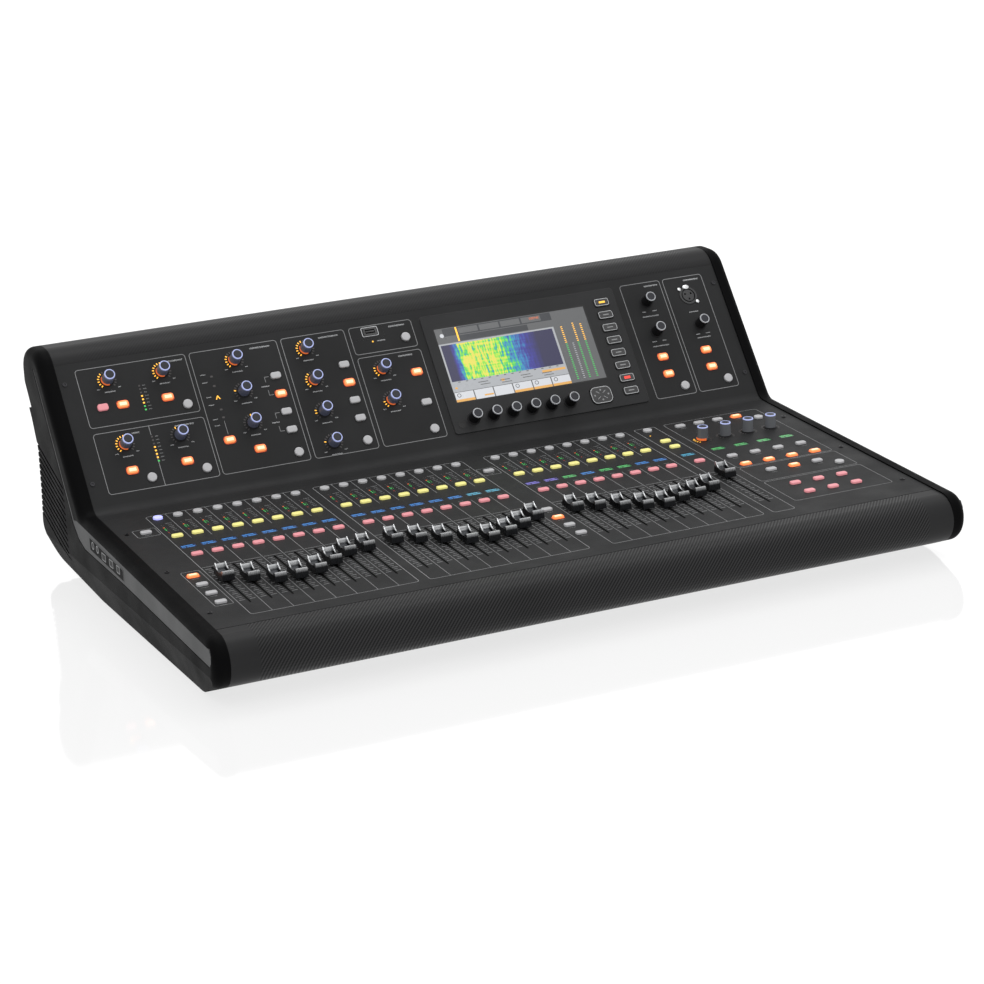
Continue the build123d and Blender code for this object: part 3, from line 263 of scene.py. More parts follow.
def brushed(name, color, rough, stretch=(40.0, 900.0, 900.0)):
    """Metal or metallised plastic with fine streaks."""
    surface = Surface(name, color, rough, metallic=1.0)
    streak = surface.noise(1.0, 3.0, stretch)
    surface.feed(surface.spread(streak, rough - 0.07, rough + 0.08), "Roughness")
    low = tuple(c * 0.86 for c in color)
    surface.feed(surface.mix(surface.spread(streak, 0.0, 1.0), low, color), "Base Color")
    surface.bump(streak, 0.00003)
    return surface.material


STEEL = brushed("plain_steel", (0.50, 0.50, 0.51), 0.38)
ALUMINIUM = brushed("plain_aluminium", (0.66, 0.67, 0.68), 0.40)
SCREW = brushed("black_screw", (0.045, 0.045, 0.048), 0.42)
SILVER = brushed("bright_silver", (0.74, 0.75, 0.76), 0.26)


def fader_silver():
    """Metallised cap: bright high rims over a darker scoop and skirt; a painted highlight on the rims,
    painted shade on the scoop and skirt.
    """
    surface = Surface("fader_silver", (0.60, 0.61, 0.63), 0.27, metallic=0.92)
    split = surface.node("ShaderNodeSeparateXYZ")
    surface.link(surface.place, split.inputs[0])
    _, y, z = split.outputs
    lift = surface.math("SUBTRACT", z, surface.math("MULTIPLY", y, sin(DECK_SLOPE) / cos(DECK_SLOPE)))
    height = surface.math("SUBTRACT", lift, (CREASE.z - CREASE.y * sin(DECK_SLOPE) / cos(DECK_SLOPE)) * MM)
    # painted light: the colour runs from painted shade low on the cap to a painted highlight on its high rims
    level = surface.math("DIVIDE", surface.math("SUBTRACT", height, 0.0085), 0.0042, clamp=True)
    streak = surface.noise(1.0, 3.0, (900.0, 900.0, 60.0))
    tone = surface.math("MULTIPLY", level, surface.spread(streak, 0.85, 1.0), clamp=True)
    surface.feed(surface.mix(tone, (0.020, 0.021, 0.023), (0.60, 0.61, 0.62)), "Base Color")
    surface.feed(surface.spread(streak, 0.22, 0.34), "Roughness")
    surface.bump(streak, 0.00002)
    return surface.material


def smoky_barrel_painted_rim_light(name, glow_strength):
    """Smoky translucent knob barrel, with light gathering at its rim."""
    surface = Surface(name, (0.085, 0.09, 0.115), 0.3, specular=0.6)
    split = surface.node("ShaderNodeSeparateXYZ")
    surface.link(surface.place, split.inputs[0])
    _, y, z = split.outputs
    over = surface.math("MULTIPLY", surface.math("SUBTRACT", z, CREASE.z * MM), cos(PANEL_SLOPE))
    back = surface.math("MULTIPLY", surface.math("SUBTRACT", y, CREASE.y * MM), sin(PANEL_SLOPE))
    height = surface.math("SUBTRACT", over, back)
    level = surface.math("DIVIDE", height, 0.0165, clamp=True)
    # painted light: the base colour grows lighter towards the rim, where light gathers
    rim = surface.math("POWER", level, 5.0)
    cloud = surface.spread(surface.noise(260.0, 4.0), 0.75, 1.0)
    tone = surface.math("MULTIPLY", rim, cloud)
    surface.feed(surface.mix(tone, (0.055, 0.058, 0.07), (0.26, 0.28, 0.36)), "Base Color")
    surface.bump(surface.noise(1400.0, 2.0), 0.00004)
    surface.glow((0.30, 0.34, 0.60), glow_strength)
    return surface.material


FADER = fader_silver()
KNOB_SMOKE = smoky_barrel_painted_rim_light("knob_smoke", 0.05)
CLEAR = Surface("knob_clear", (0.115, 0.12, 0.13), 0.22, specular=0.6)
KNOB_CLEAR = CLEAR.grain(1200.0, 0.00004, vary=0.25).material


# ---- Mesh building ----------------------------------------------------------------------
class Shape:
    """Collects faces in millimetres and turns them into one piece."""

    def __init__(self):
        self.points = []
        self.faces = []
        self.smooth = []

    def loops(self, place, rows, cap=True, smooth=False):
        """Skin between closed rows of (x, y, z); the last row is capped."""
        count = len(rows[0])
        first = len(self.points)
        for row in rows:
            self.points += [place @ Vector(point) for point in row]
        for level in range(len(rows) - 1):
            low = first + level * count
            for k in range(count):
                n = (k + 1) % count
                self.faces.append((low + k, low + n, low + count + n, low + count + k))
                self.smooth.append(smooth)
        if cap:
            top = first + (len(rows) - 1) * count
            self.faces.append(tuple(range(top, top + count)))
            self.smooth.append(False)
        return self

    def slab(self, place, outline, low, high):
        """Flat-topped piece of an outline."""
        return self.loops(place, [raised(outline, low), raised(outline, high)])

    def bar(self, place, start, end, width, low=0.0, high=0.06):
        """Straight line of some width."""
        a, b = Vector(start), Vector(end)
        side = (b - a).normalized().orthogonal() * width / 2
        return self.slab(place, [a - side, b - side, b + side, a + side], low, high)

    def frame(self, place, outer, inner, low=0.0, high=0.06):
        """Flat ring between two outlines with the same number of points."""
        rows = [raised(outer, low), raised(outer, high), raised(inner, high), raised(inner, low)]
        return self.loops(place, rows, cap=False)

    def piece(self, name, material, slot, body="console", stands_for=()):
        mesh = bpy.data.meshes.new(name)
        mesh.from_pydata([tuple(p * MM) for p in self.points], [], self.faces)
        mesh.polygons.foreach_set("use_smooth", self.smooth)
        mesh.materials.append(material)
        mesh.validate()
        made = bpy.data.objects.new(name, mesh)
        bpy.context.scene.collection.objects.link(made)
        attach(made, body)
        if stands_for:
            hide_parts(*stands_for)
        return made


def raised(outline, height):
    """An outline of (x, y) lifted to a height."""
    return [(p[0], p[1], height) for p in outline]


def rounded(centre, width, length, radius, steps=5):
    """Rounded rectangle, counterclockwise."""
    points = []
    corners = ((1, 1, 0), (-1, 1, 90), (-1, -1, 180), (1, -1, 270))
    for sx, sy, start in corners:
        cx = centre[0] + sx * (width / 2 - radius)
        cy = centre[1] + sy * (length / 2 - radius)
        for k in range(steps + 1):
            angle = radians(start + 90 * k / steps)
            points.append((cx + radius * cos(angle), cy + radius * sin(angle)))
    return points


def circle(centre, radius, steps=36):
    """Circle, counterclockwise."""
    return [
        (centre[0] + radius * cos(2 * pi * k / steps), centre[1] + radius * sin(2 * pi * k / steps))
        for k in range(steps)
    ]


def box_outline(area, inset=0.0, radius=4.0):
    """Rounded outline of an area given as x from, x to, y from, y to."""
    centre = ((area[0] + area[1]) / 2, (area[2] + area[3]) / 2)
    return rounded(centre, area[1] - area[0] - 2 * inset, area[3] - area[2] - 2 * inset, radius - inset)


def key_rows(outline_at, height, stem=-1.5):
    """Rows of a soft key: straight sides, a rounded shoulder and a gentle crown."""
    steps = [(0.0, stem), (0.0, height - 0.75), (0.12, height - 0.4), (0.42, height - 0.12)]
    steps += [(0.9, height), (2.2, height + 0.12)]
    return [raised(outline_at(inset), z) for inset, z in steps]


def soft_key(shape, place, centre, size, height, radius=2.6):
    """One rounded rectangular key."""
    def outline_at(inset):
        return rounded(centre, size[0] - 2 * inset, size[1] - 2 * inset, max(0.4, radius - inset))
    shape.loops(place, key_rows(outline_at, height), smooth=True)


def round_key(shape, place, centre, radius, height):
    """One round key."""
    shape.loops(place, key_rows(lambda inset: circle(centre, radius - inset, 28), height), smooth=True)


def forward(xs, rows):
    """Deck positions from rows counted forward of the crease."""
    return [(x, -row) for row in rows for x in xs]


KEY = (12.5, 8.0)


def key_piece(name, place, centres, material, slot, body, node, height=2.2, size=KEY):
    """One piece holding the keys of one colour; it stands for their CAD node."""
    shape = Shape()
    for centre in centres:
        soft_key(shape, place, centre, size, height)
    return shape.piece(name, material, slot, body, [node])


# ---- CAD nodes that keep their shape ----------------------------------------------------
def paint(material, *names):
    """Give CAD nodes a finished material."""
    for name in names:
        node = nodes[name]
        node.data.materials.clear()
        node.data.materials.append(material)


def paint_frame():
    paint(CHASSIS, "base_chassis", "rear_panel")
    paint(WOVEN, "front_bolster")
    paint(WOVEN_SOFT, "rear_cowl")
    paint(MOULDED, "end_cheek_left", "end_cheek_right")
    paint(TRIM, "side_trim_plates")
    paint(CHARCOAL, "fader_deck", "upper_panel")
    paint(BEZEL_GREY, "display_bezel")
    paint(KNOB_FACE, "display_glass", "scribble_displays")
    paint(SOCKET, "xlr_sockets", "data_sockets", "power_inlet", "power_switch")
    paint(ALUMINIUM, "power_supply")
    paint(BOARD, "circuit_boards")
    paint(STEEL, "fader_tracks")
    paint(RUBBER, "rubber_feet")
    paint(SCREW, "panel_screws")
    paint(FADER, *[name for name in nodes if name.startswith("fader_") and name[6:8].isdigit()], "fader_main")
    paint(KNOB_SMOKE, "gain_knob", "gate_knob", "equaliser_knob", "main_level_knob")
    paint(KNOB_BLACK, "monitor_knob", "talkback_knob")
    paint(KNOB_SMOKE, "upper_encoders")
    paint(KNOB_CLEAR, "assign_encoders")


paint_frame()


# ---- Keys -------------------------------------------------------------------------------
SELECT = forward(CHANNELS + [MAIN_X], [43.5])
for name, centres, material in (("keys_grey", SELECT[1:], KEY_GREY), ("key_lit", SELECT[:1], KEY_LILAC)):
    shape = Shape()
    for centre in centres:
        round_key(shape, DECK, centre, 5.5, 2.2)
    shape.piece(f"select_{name}", material, "key_grey", "select_keys_body", ["select_keys"])
SOLO = forward(CHANNELS, [108.5]) + forward([MAIN_X], [89.0, 112.0])
key_piece("solo_keys_yellow", DECK, SOLO, KEY_YELLOW, "key_yellow", "solo_keys_body", "solo_keys")
GROUP_X = [304.5 + 30.6 * k for k in range(3)]
MUTE = forward(CHANNELS + [MAIN_X], [172.0]) + forward(GROUP_X, [293.0, 324.5])
key_piece("mute_keys_pink", DECK, MUTE, KEY_PINK, "key_pink", "mute_keys_body", "mute_keys")

LEFT_X, MIDDLE_X, EXTRA_ROW = -395.5, 20.0, 82.0
COLUMN_ROWS = [234.0 + 28.2 * k for k in range(4)]
TOP_ASSIGN_X = [290.0 + 25.6 * k for k in range(4)]
DECK_ORANGE = (
    forward([LEFT_X], COLUMN_ROWS[:1]) + forward([MIDDLE_X], COLUMN_ROWS[1:2])
    + forward(TOP_ASSIGN_X[3:], [48.0]) + forward(ASSIGN_X, [207.0]) + forward(GROUP_X[1:2], [239.0])
)
DECK_GREY = (
    forward([LEFT_X, MIDDLE_X], [EXTRA_ROW]) + forward([LEFT_X], COLUMN_ROWS[1:])
    + forward([MIDDLE_X], COLUMN_ROWS[:1] + COLUMN_ROWS[2:]) + forward(TOP_ASSIGN_X[:3], [48.0])
    + forward(ASSIGN_X, [175.0]) + forward(GROUP_X[::2], [239.0])
)
grey = key_piece("deck_keys_grey", DECK, DECK_GREY, KEY_GREY, "key_grey", "deck_keys_body", "deck_keys")
key_piece("deck_keys_orange", DECK, DECK_ORANGE, KEY_ORANGE, "key_orange", "deck_keys_body", "deck_keys")
shape = Shape()
for centre in ((388.5, -64.5), (386.0, -255.0)):
    round_key(shape, DECK, centre, 5.5, 2.2)
shape.piece("deck_round_keys", KEY_GREY, "key_grey", "deck_keys_body", ["deck_keys"])

UPPER_ORANGE = [
    (-360.6, 126.7), (-306.7, 126.7), (GAIN_X, 46.0), (FILTER_X, 46.0), (-249.3, SMALL_ROWS[0]),
    (EQ_X, 46.0), (EQ_KEY_X, SMALL_ROWS[2]), (SEND_KEY_X, SMALL_ROWS[2]), (BUS_KEY_X, 108.2),
    (319.0, 75.4), (319.0, 52.4), (379.3, 75.4), (379.3, 52.4),
]
UPPER_GREY = [(x, SMALL_ROWS[k]) for x in (EQ_KEY_X, SEND_KEY_X) for k in (0, 1, 3)] + [(BUS_KEY_X, 68.4)]
VIEW_ROW = 33.6
UPPER_ROUND = [
    (-286.0, 114.3), (-351.0, VIEW_ROW), (-285.2, VIEW_ROW), (-172.5, VIEW_ROW), (-86.5, VIEW_ROW),
    (-0.8, VIEW_ROW), (-0.8, 154.2), (335.1, VIEW_ROW), (395.4, VIEW_ROW),
]
key_piece("upper_keys_orange", PANEL, UPPER_ORANGE, KEY_ORANGE, "key_orange", "upper_keys_body", "upper_keys")
key_piece("upper_keys_grey", PANEL, UPPER_GREY, KEY_GREY, "key_grey", "upper_keys_body", "upper_keys")
key_piece("upper_key_pink", PANEL, [(-384.4, 126.7)], KEY_PINK, "key_pink", "upper_keys_body", "upper_keys")
shape = Shape()
for centre in UPPER_ROUND:
    round_key(shape, PANEL, centre, 5.5, 2.2)
shape.piece("upper_round_keys", KEY_GREY, "key_grey", "upper_keys_body", ["upper_keys"])


def glowing_gaps():
    """Bright hearts of the lit orange keys, and light that leaks round them."""
    for name, place, centres in (("upper", PANEL, UPPER_ORANGE), ("deck", DECK, DECK_ORANGE)):
        leak, heart = Shape(), Shape()
        for centre in centres:
            outer = rounded(centre, KEY[0] + 1.9, KEY[1] + 1.9, 3.4)
            inner = rounded(centre, KEY[0] + 0.9, KEY[1] + 0.9, 3.0)
            leak.frame(place, outer, inner, 0.0, 0.08)
            heart_at = [(1.9, 2.20), (2.1, 2.38), (2.7, 2.44), (3.4, 2.46)]
            rows = [raised(rounded(centre, KEY[0] - 2 * t, KEY[1] - 2 * t, 0.55), z) for t, z in heart_at]
            heart.loops(place, rows, smooth=True)
        leak.piece(f"{name}_key_glow", KEY_ORANGE_RIM, "key_orange")
        heart.piece(f"{name}_key_hearts", KEY_CREAM, "key_orange", f"{name}_keys_body")


glowing_gaps()


# ---- Display keys and pad ---------------------------------------------------------------
DISPLAY_KEYS = [(261.3, 38.5 + 17.05 * k) for k in range(8)]
DISPLAY_KEY = (20.0, 10.5)
PAD = (221.0, 38.9)
TOP_OF_KEYS = BEZEL_RISE + 1.6


def display_controls():
    body = "display_keys_body"
    keys, outline, marks = Shape(), Shape(), Shape()
    for index, centre in enumerate(DISPLAY_KEYS):
        soft_key(keys, PANEL, centre, DISPLAY_KEY, TOP_OF_KEYS)
        outer = rounded(centre, DISPLAY_KEY[0] - 1.6, DISPLAY_KEY[1] - 1.6, 2.2)
        inner = rounded(centre, DISPLAY_KEY[0] - 2.6, DISPLAY_KEY[1] - 2.6, 1.7)
        outline.frame(PANEL, outer, inner, TOP_OF_KEYS - 0.3, TOP_OF_KEYS + 0.14)
        if index not in (1, 7):
            start, end = (centre[0] - 3.6, centre[1]), (centre[0] + 4.0, centre[1])
            marks.bar(PANEL, start, end, 1.3, TOP_OF_KEYS, TOP_OF_KEYS + 0.16)
    pad_rows = key_rows(
        lambda inset: rounded(PAD, 28 - 2 * inset, 22 - 2 * inset, 7 - inset * 0.6), TOP_OF_KEYS
    )
    keys.loops(PANEL, pad_rows, smooth=True)
    outer, inner = rounded(PAD, 27, 21, 6.6), rounded(PAD, 25.8, 19.8, 6.0)
    outline.frame(PANEL, outer, inner, TOP_OF_KEYS - 0.3, TOP_OF_KEYS + 0.14)
    for dx, dy in ((9, 0), (-9, 0), (0, 6.4), (0, -6.4)):
        marks.slab(PANEL, circle((PAD[0] + dx, PAD[1] + dy), 1.15, 12), TOP_OF_KEYS, TOP_OF_KEYS + 0.18)
    for turn in (45, 135, 225, 315):
        dx, dy = cos(radians(turn)), sin(radians(turn))
        start = (PAD[0] + 3 * dx, PAD[1] + 3 * dy)
        end = (PAD[0] + 9.0 * dx, PAD[1] + 7.4 * dy)
        outline.bar(PANEL, start, end, 0.35, TOP_OF_KEYS, TOP_OF_KEYS + 0.14)
    keys.piece("display_keys_black", KEY_BLACK, "key_black", body, ["display_keys"])
    outline.piece("display_key_outlines", PRINT_WHITE, "key_grey", body)
    marks.piece("display_key_marks", PRINT, "key_grey", body)
    for name, index, material in (("home", 7, LAMP_AMBER), ("mute", 1, LAMP_RED)):
        x, y = DISPLAY_KEYS[index]
        width = 2.4 if index == 7 else 3.4
        lamp = Shape().bar(PANEL, (x - 3.8, y), (x + 4.4, y), width, TOP_OF_KEYS, TOP_OF_KEYS + 0.17)
        lamp.piece(f"display_key_{name}_lamp", material, "key_orange", body)


display_controls()


# ---- Knobs ------------------------------------------------------------------------------
SINGLE_KNOBS = {
    "gain_knob": (GAIN_X, KNOB_ROWS[3]),
    "gate_knob": (GAIN_X, KNOB_ROWS[1]),
    "equaliser_knob": (EQ_X, KNOB_ROWS[2]),
    "main_level_knob": (BUS_X, KNOB_ROWS[2]),
    "monitor_knob": (321.8, 150.0),
    "talkback_knob": (383.0, 110.0),
}
LIT_ENCODERS = (
    [(FILTER_X, KNOB_ROWS[3]), (FILTER_X, KNOB_ROWS[1]), (EQ_X, KNOB_ROWS[3]), (EQ_X, KNOB_ROWS[1])]
    + [(SEND_X, row) for row in KNOB_ROWS] + [(BUS_X, KNOB_ROWS[1])]
)
BLACK_ENCODERS = [(321.8, 109.5)]
DISPLAY_KNOBS = [(50.7 + 25.55 * k, 37.4) for k in range(6)]


def knob_rim(shape, place, centre, lift=0.0):
    """Rounded ring round the top of a knob, set into its edge."""
    profile = [(6.25, 15.5), (6.30, 16.1), (6.0, 16.72), (5.5, 16.86), (5.0, 16.72), (4.9, 16.3)]
    rows = [raised(circle(centre, r), z + lift) for r, z in profile]
    shape.loops(place, rows, cap=False, smooth=True)


def knob_face(shape, place, centre, lift=0.0):
    """Slightly dished face inside the ring."""
    profile = [(5.1, 16.35), (5.0, 16.6), (3.4, 16.54), (1.6, 16.52)]
    shape.loops(place, [raised(circle(centre, r), z + lift) for r, z in profile], smooth=True)


def knob_skirt(shape, place, centre, lift=0.0):
    """Soft collar round the foot of a knob."""
    profile = [(8.4, 0.0), (8.3, 0.35), (7.6, 0.62), (6.95, 0.7)]
    shape.loops(place, [raised(circle(centre, r), z + lift) for r, z in profile], cap=False, smooth=True)


def knob_set(name, place, centres, rim, face, slot, body, lift=0.0):
    """The bright ring and the face of some knobs that move together."""
    ring, dish = Shape(), Shape()
    for centre in centres:
        knob_rim(ring, place, centre, lift)
        knob_face(dish, place, centre, lift)
    ring.piece(f"{name}_rim", rim, slot, body)
    dish.piece(f"{name}_face", face, slot, body)


for name, centre in SINGLE_KNOBS.items():
    is_lit = name not in ("monitor_knob", "talkback_knob")
    knob_set(
        name, PANEL, [centre], LAMP_BLUE if is_lit else KNOB_RIM, KNOB_FACE,
        "knob_smoke" if is_lit else "knob_black", f"{name}_body",
    )
knob_set("lit_encoders", PANEL, LIT_ENCODERS, LAMP_BLUE, KNOB_FACE, "knob_smoke", "upper_encoders_body")
knob_set("monitor_encoder", PANEL, BLACK_ENCODERS, KNOB_RIM, KNOB_FACE, "knob_black", "upper_encoders_body")
knob_set(
    "display_encoders", PANEL, DISPLAY_KNOBS, KNOB_RIM, KNOB_FACE, "knob_black",
    "upper_encoders_body", BEZEL_RISE,
)
ASSIGN = forward(ASSIGN_X, [104.5])
knob_set("assign_encoders", DECK, ASSIGN, LAMP_BLUE, KNOB_FACE, "knob_smoke", "assign_encoders_body")


def black_sleeves():
    """Dark outer skins of the encoders that are not lit."""
    sleeves = Shape()
    for centres, lift in ((BLACK_ENCODERS, 0.0), (DISPLAY_KNOBS, BEZEL_RISE)):
        for centre in centres:
            rows = [raised(circle(centre, r), z + lift) for r, z in ((6.86, 1.25), (6.26, 15.2))]
            sleeves.loops(PANEL, rows, cap=False, smooth=True)
    sleeves.piece("encoder_sleeves", KNOB_BLACK, "knob_black", "upper_encoders_body")


black_sleeves()

LEVELS = {
    (GAIN_X, KNOB_ROWS[3]): 6, (FILTER_X, KNOB_ROWS[3]): 8, (GAIN_X, KNOB_ROWS[1]): 8,
    (FILTER_X, KNOB_ROWS[1]): (6, 7), (EQ_X, KNOB_ROWS[3]): 5, (EQ_X, KNOB_ROWS[2]): (3, 4),
    (EQ_X, KNOB_ROWS[1]): (7, 8), (SEND_X, KNOB_ROWS[3]): 7, (SEND_X, KNOB_ROWS[2]): 6,
    (SEND_X, KNOB_ROWS[1]): (2, 4), (SEND_X, KNOB_ROWS[0]): (3, 4), (BUS_X, KNOB_ROWS[2]): 4,
    (BUS_X, KNOB_ROWS[1]): 3,
}
TICKS = 15


def tick_rings():
    """Ring of small lamps round each encoder; the lit ones run up from the lower left."""
    amber, off, foot, skirts = Shape(), Shape(), Shape(), Shape()
    marks = [(PANEL, centre, level) for centre, level in LEVELS.items()]
    marks += [(DECK, ASSIGN[0], 5), (DECK, ASSIGN[1], 0), (DECK, ASSIGN[2], 0), (DECK, ASSIGN[3], 0)]
    for place, centre, level in marks:
        first, last = level if isinstance(level, tuple) else (0, level)
        knob_skirt(skirts, place, centre)
        for k in range(TICKS):
            angle = radians(225 - 270 * k / (TICKS - 1))
            dx, dy = cos(angle), sin(angle)
            start = (centre[0] + 8.9 * dx, centre[1] + 8.9 * dy)
            end = (centre[0] + 11.3 * dx, centre[1] + 11.3 * dy)
            target = amber if first <= k < last else off
            target.bar(place, start, end, 1.25, 0.0, 0.12)
        # painted light: an orange crescent at the knob's foot, where the lit ticks start, stands for their
        # light falling on it
        if first == 0 and last > 2:
            arc = [centre[0] + 7.25 * cos(radians(a)) for a in range(150, 290, 10)]
            low = [centre[1] + 7.25 * sin(radians(a)) for a in range(150, 290, 10)]
            back = [radians(a) for a in range(280, 140, -10)]
            inner = [(centre[0] + 6.9 * cos(a), centre[1] + 6.9 * sin(a)) for a in back]
            foot.slab(place, list(zip(arc, low)) + inner, 0.6, 3.2)
    for centre in BLACK_ENCODERS + [SINGLE_KNOBS["monitor_knob"], SINGLE_KNOBS["talkback_knob"]]:
        knob_skirt(skirts, PANEL, centre)
    for centre in DISPLAY_KNOBS:
        knob_skirt(skirts, PANEL, centre, BEZEL_RISE)
    skirts.piece("knob_skirts", KNOB_BLACK, "knob_black")
    amber.piece("knob_lamps_lit", LAMP_AMBER, "key_orange")
    off.piece("knob_lamps_off", LAMP_OFF, "key_black")
    # painted light of the lit ticks on the knob feet
    foot.piece("knob_foot_painted_tick_light", LAMP_ORANGE, "key_orange")


tick_rings()


# ---- Printed lines ----------------------------------------------------------------------
LINE = 0.62


def boxed(shape, place, area, radius=4.0, width=LINE, low=0.0, high=0.06):
    """Rounded printed box."""
    shape.frame(place, box_outline(area, 0.0, radius), box_outline(area, width, radius), low, high)


def label(shape, place, x, y, length, height=1.35, low=0.0, high=0.05):
    """Row of small abstract strokes in place of a caption."""
    left = x - length / 2
    while left < x + length / 2:
        stroke = random.uniform(0.5, 1.05)
        top = y + height / 2
        shape.bar(place, (left, y - height / 2), (left, top), 0.34, low, high)
        start = (left, top - 0.18 * random.randint(0, 6))
        end = (left + stroke, top - 0.18 * random.randint(0, 6))
        shape.bar(place, start, end, 0.3, low, high)
        left += stroke + 0.45


UPPER_BOXES = [
    (-405.5, -273.0, 103.0, 176.5), (-405.0, -272.0, 21.0, 96.0), (-268.5, -160.0, 21.6, 176.2),
    (-155.0, -74.6, 21.6, 176.2), (-69.0, 11.7, 140.5, 176.0), (-69.0, 12.8, 21.5, 136.5),
    (292.7, 348.2, 21.6, 176.2), (352.1, 407.2, 21.6, 176.2),
]


def upper_print():
    lines, words = Shape(), Shape()
    for area in UPPER_BOXES:
        boxed(lines, PANEL, area)
    lines.bar(PANEL, (-338.5, 21.5), (-338.5, 62.0), LINE)
    lines.bar(PANEL, (-338.5, 84.0), (-338.5, 95.6), LINE)
    for rows in ((SMALL_ROWS[3], SMALL_ROWS[2]), (SMALL_ROWS[1], SMALL_ROWS[0])):
        left = EQ_KEY_X - 14.0
        for row in rows:
            lines.bar(PANEL, (left, row), (EQ_KEY_X - 8.5, row), 0.5)
        lines.bar(PANEL, (left, rows[1]), (left, rows[1] + 6.5), 0.5)
        lines.bar(PANEL, (left, rows[0] - 6.5), (left, rows[0]), 0.5)
        label(words, PANEL, EQ_KEY_X - 16.0, (rows[0] + rows[1]) / 2, 9.0)
    lines.bar(PANEL, (-249.3, SMALL_ROWS[0] + 7.0), (-249.3, SMALL_ROWS[0] + 24.0), 0.5)
    titles = [(-288, 170, 20), (-297, 90, 22), (-355, 90, 9), (-182, 170, 24), (-96, 170, 24)]
    titles += [(-8, 170.5, 20), (-8, 131, 18), (335, 170.5, 18), (391, 170.5, 20)]
    for x, y, length in titles:
        label(words, PANEL, x, y, length, 1.9)
    captions = [(x, y - 15.0, 12.0) for x, y in LEVELS] + [(380.6, 127.5, 12.0)]
    captions += [(321.8, 130.5, 22.0), (321.8, 90.0, 22.0), (383.0, 92.0, 18.0)]
    for x, y, length in captions:
        label(words, PANEL, x, y, length)
    for x, y in LEVELS:
        for side in (-1, 1):
            label(words, PANEL, x + side * 12.5, y - 10.5, 3.0, 1.0)
    for x, y in ((321.8, 150.0), (321.8, 109.5), (383.0, 110.0)):
        for side in (-1, 1):
            label(words, PANEL, x + side * 7.0, y - 13.0, 5.0, 1.1)
    for row in (146.5, 136.5, 118.0, 108.0, 90.0, 82.0):
        label(words, PANEL, -259.0, row, 5.5, 1.1)
    boxed(lines, PANEL, (-68.0, -26.0, 158.2, 175.0), 2.0, 0.0001)
    spot = (-43.0, 168.0)
    words.frame(PANEL, rounded(spot, 21.0, 12.0, 2.0), rounded(spot, 19.6, 10.6, 1.4), 0.0, 0.06)
    label(words, PANEL, -32.0, 154.8, 10.0)
    lines.piece("upper_printed_lines", PRINT, "trim_grey")
    words.piece("upper_printed_marks", PRINT_WHITE, "trim_grey")


def divider(lines, x):
    """Line between two channels, with a gap where the small displays are."""
    for start, end in ((33.5, 121.0), (161.0, 365.5)):
        lines.bar(DECK, (x, -end), (x, -start), 0.5)


def fader_scale(scale, x, top):
    """Ladder of short dashes on both sides of a slot, under a line across its top."""
    scale.bar(DECK, (x - 10.2, -top), (x + 10.2, -top), 0.6)
    for k in range(21):
        row = -(top + 7.0 + k * 5.1)
        reach = 8.8 if k % 2 == 0 else 6.8
        for side in (-1, 1):
            scale.bar(DECK, (x + side * 2.6, row), (x + side * reach, row), 0.85 if k % 2 == 0 else 0.6)


def deck_print():
    lines, words, scale, dark = Shape(), Shape(), Shape(), Shape()
    for bank in BANKS:
        left, right = bank[0] - PITCH / 2, bank[-1] + PITCH / 2
        boxed(lines, DECK, (left, right, -366.0, -33.0), 4.0, 0.6)
        for x in bank[:-1]:
            divider(lines, x + PITCH / 2)
    boxed(lines, DECK, (MAIN_X - 14.0, MAIN_X + 14.0, -366.0, -33.0), 4.0, 0.6)
    boxed(lines, DECK, (-405.0, -384.0, -328.0, -219.0), 3.0, 0.5)
    boxed(lines, DECK, (-408.6, -382.0, -95.0, -70.0), 3.0, 0.5)
    boxed(lines, DECK, (8.6, 31.4, -95.0, -70.0), 3.0, 0.5)
    boxed(lines, DECK, (274.0, 402.0, -214.5, -33.0), 4.0, 0.5)
    boxed(lines, DECK, (274.0, 402.0, -270.0, -217.0), 4.0, 0.5)
    boxed(lines, DECK, (274.0, 402.0, -345.0, -273.0), 4.0, 0.5)
    for x in CHANNELS + [MAIN_X]:
        fader_scale(scale, x, 215.0)
        # painted shade: a dark sheet low in each fader slot
        dark.slab(DECK, rounded((x, -275.75), 2.6, 115.5, 1.25), -1.95, -1.9)
    for x in CHANNELS:
        label(words, DECK, x + 5.2, -64.0, 7.0, 1.6)
        for k in range(5):
            label(words, DECK, x + 5.0, -(70.0 + 5.2 * k), 4.2, 1.5)
        label(words, DECK, x, -160.0, 6.0, 1.0)
    for x, y in DECK_GREY + DECK_ORANGE:
        label(words, DECK, x, y - 8.4, 7.0, 1.0)
    lines.piece("deck_printed_lines", PRINT, "trim_grey")
    words.piece("deck_printed_marks", PRINT, "trim_grey")
    scale.piece("fader_scales", PRINT, "trim_grey")
    dark.piece("slot_shadows", PIN_DARK, "socket_black")


upper_print()
deck_print()


# ---- Lamps and small displays -----------------------------------------------------------
def channel_meters():
    """Two very small columns of lamps on every channel, partly lit."""
    red, amber, green, off = Shape(), Shape(), Shape(), Shape()
    order = (off, off, amber, green, green, off, red, off)
    for index, x in enumerate(CHANNELS):
        for k, target in enumerate(order):
            row = -(68.0 + 4.2 * k - 1.6 * (index % 3))
            target.slab(DECK, rounded((x - 4.4, row), 1.7, 1.9, 0.3, 1), 0.0, 0.1)
            quiet = green if target is green and index % 4 else off
            quiet.slab(DECK, rounded((x - 1.6, row), 1.1, 1.2, 0.3, 1), 0.0, 0.1)
    red.piece("meter_lamps_red", LAMP_RED_DIM, "key_orange")
    amber.piece("meter_lamps_amber", LAMP_ORANGE, "key_orange")
    green.piece("meter_lamps_green", LAMP_GREEN, "channel_screen")
    off.piece("meter_lamps_off", LAMP_OFF, "key_black")


CHANNEL_COLOURS = ["blue"] * 14 + ["teal"] * 2
CHANNEL_COLOURS += ["violet", "violet", "green", "blue", "green", "green", "blue", "blue"]


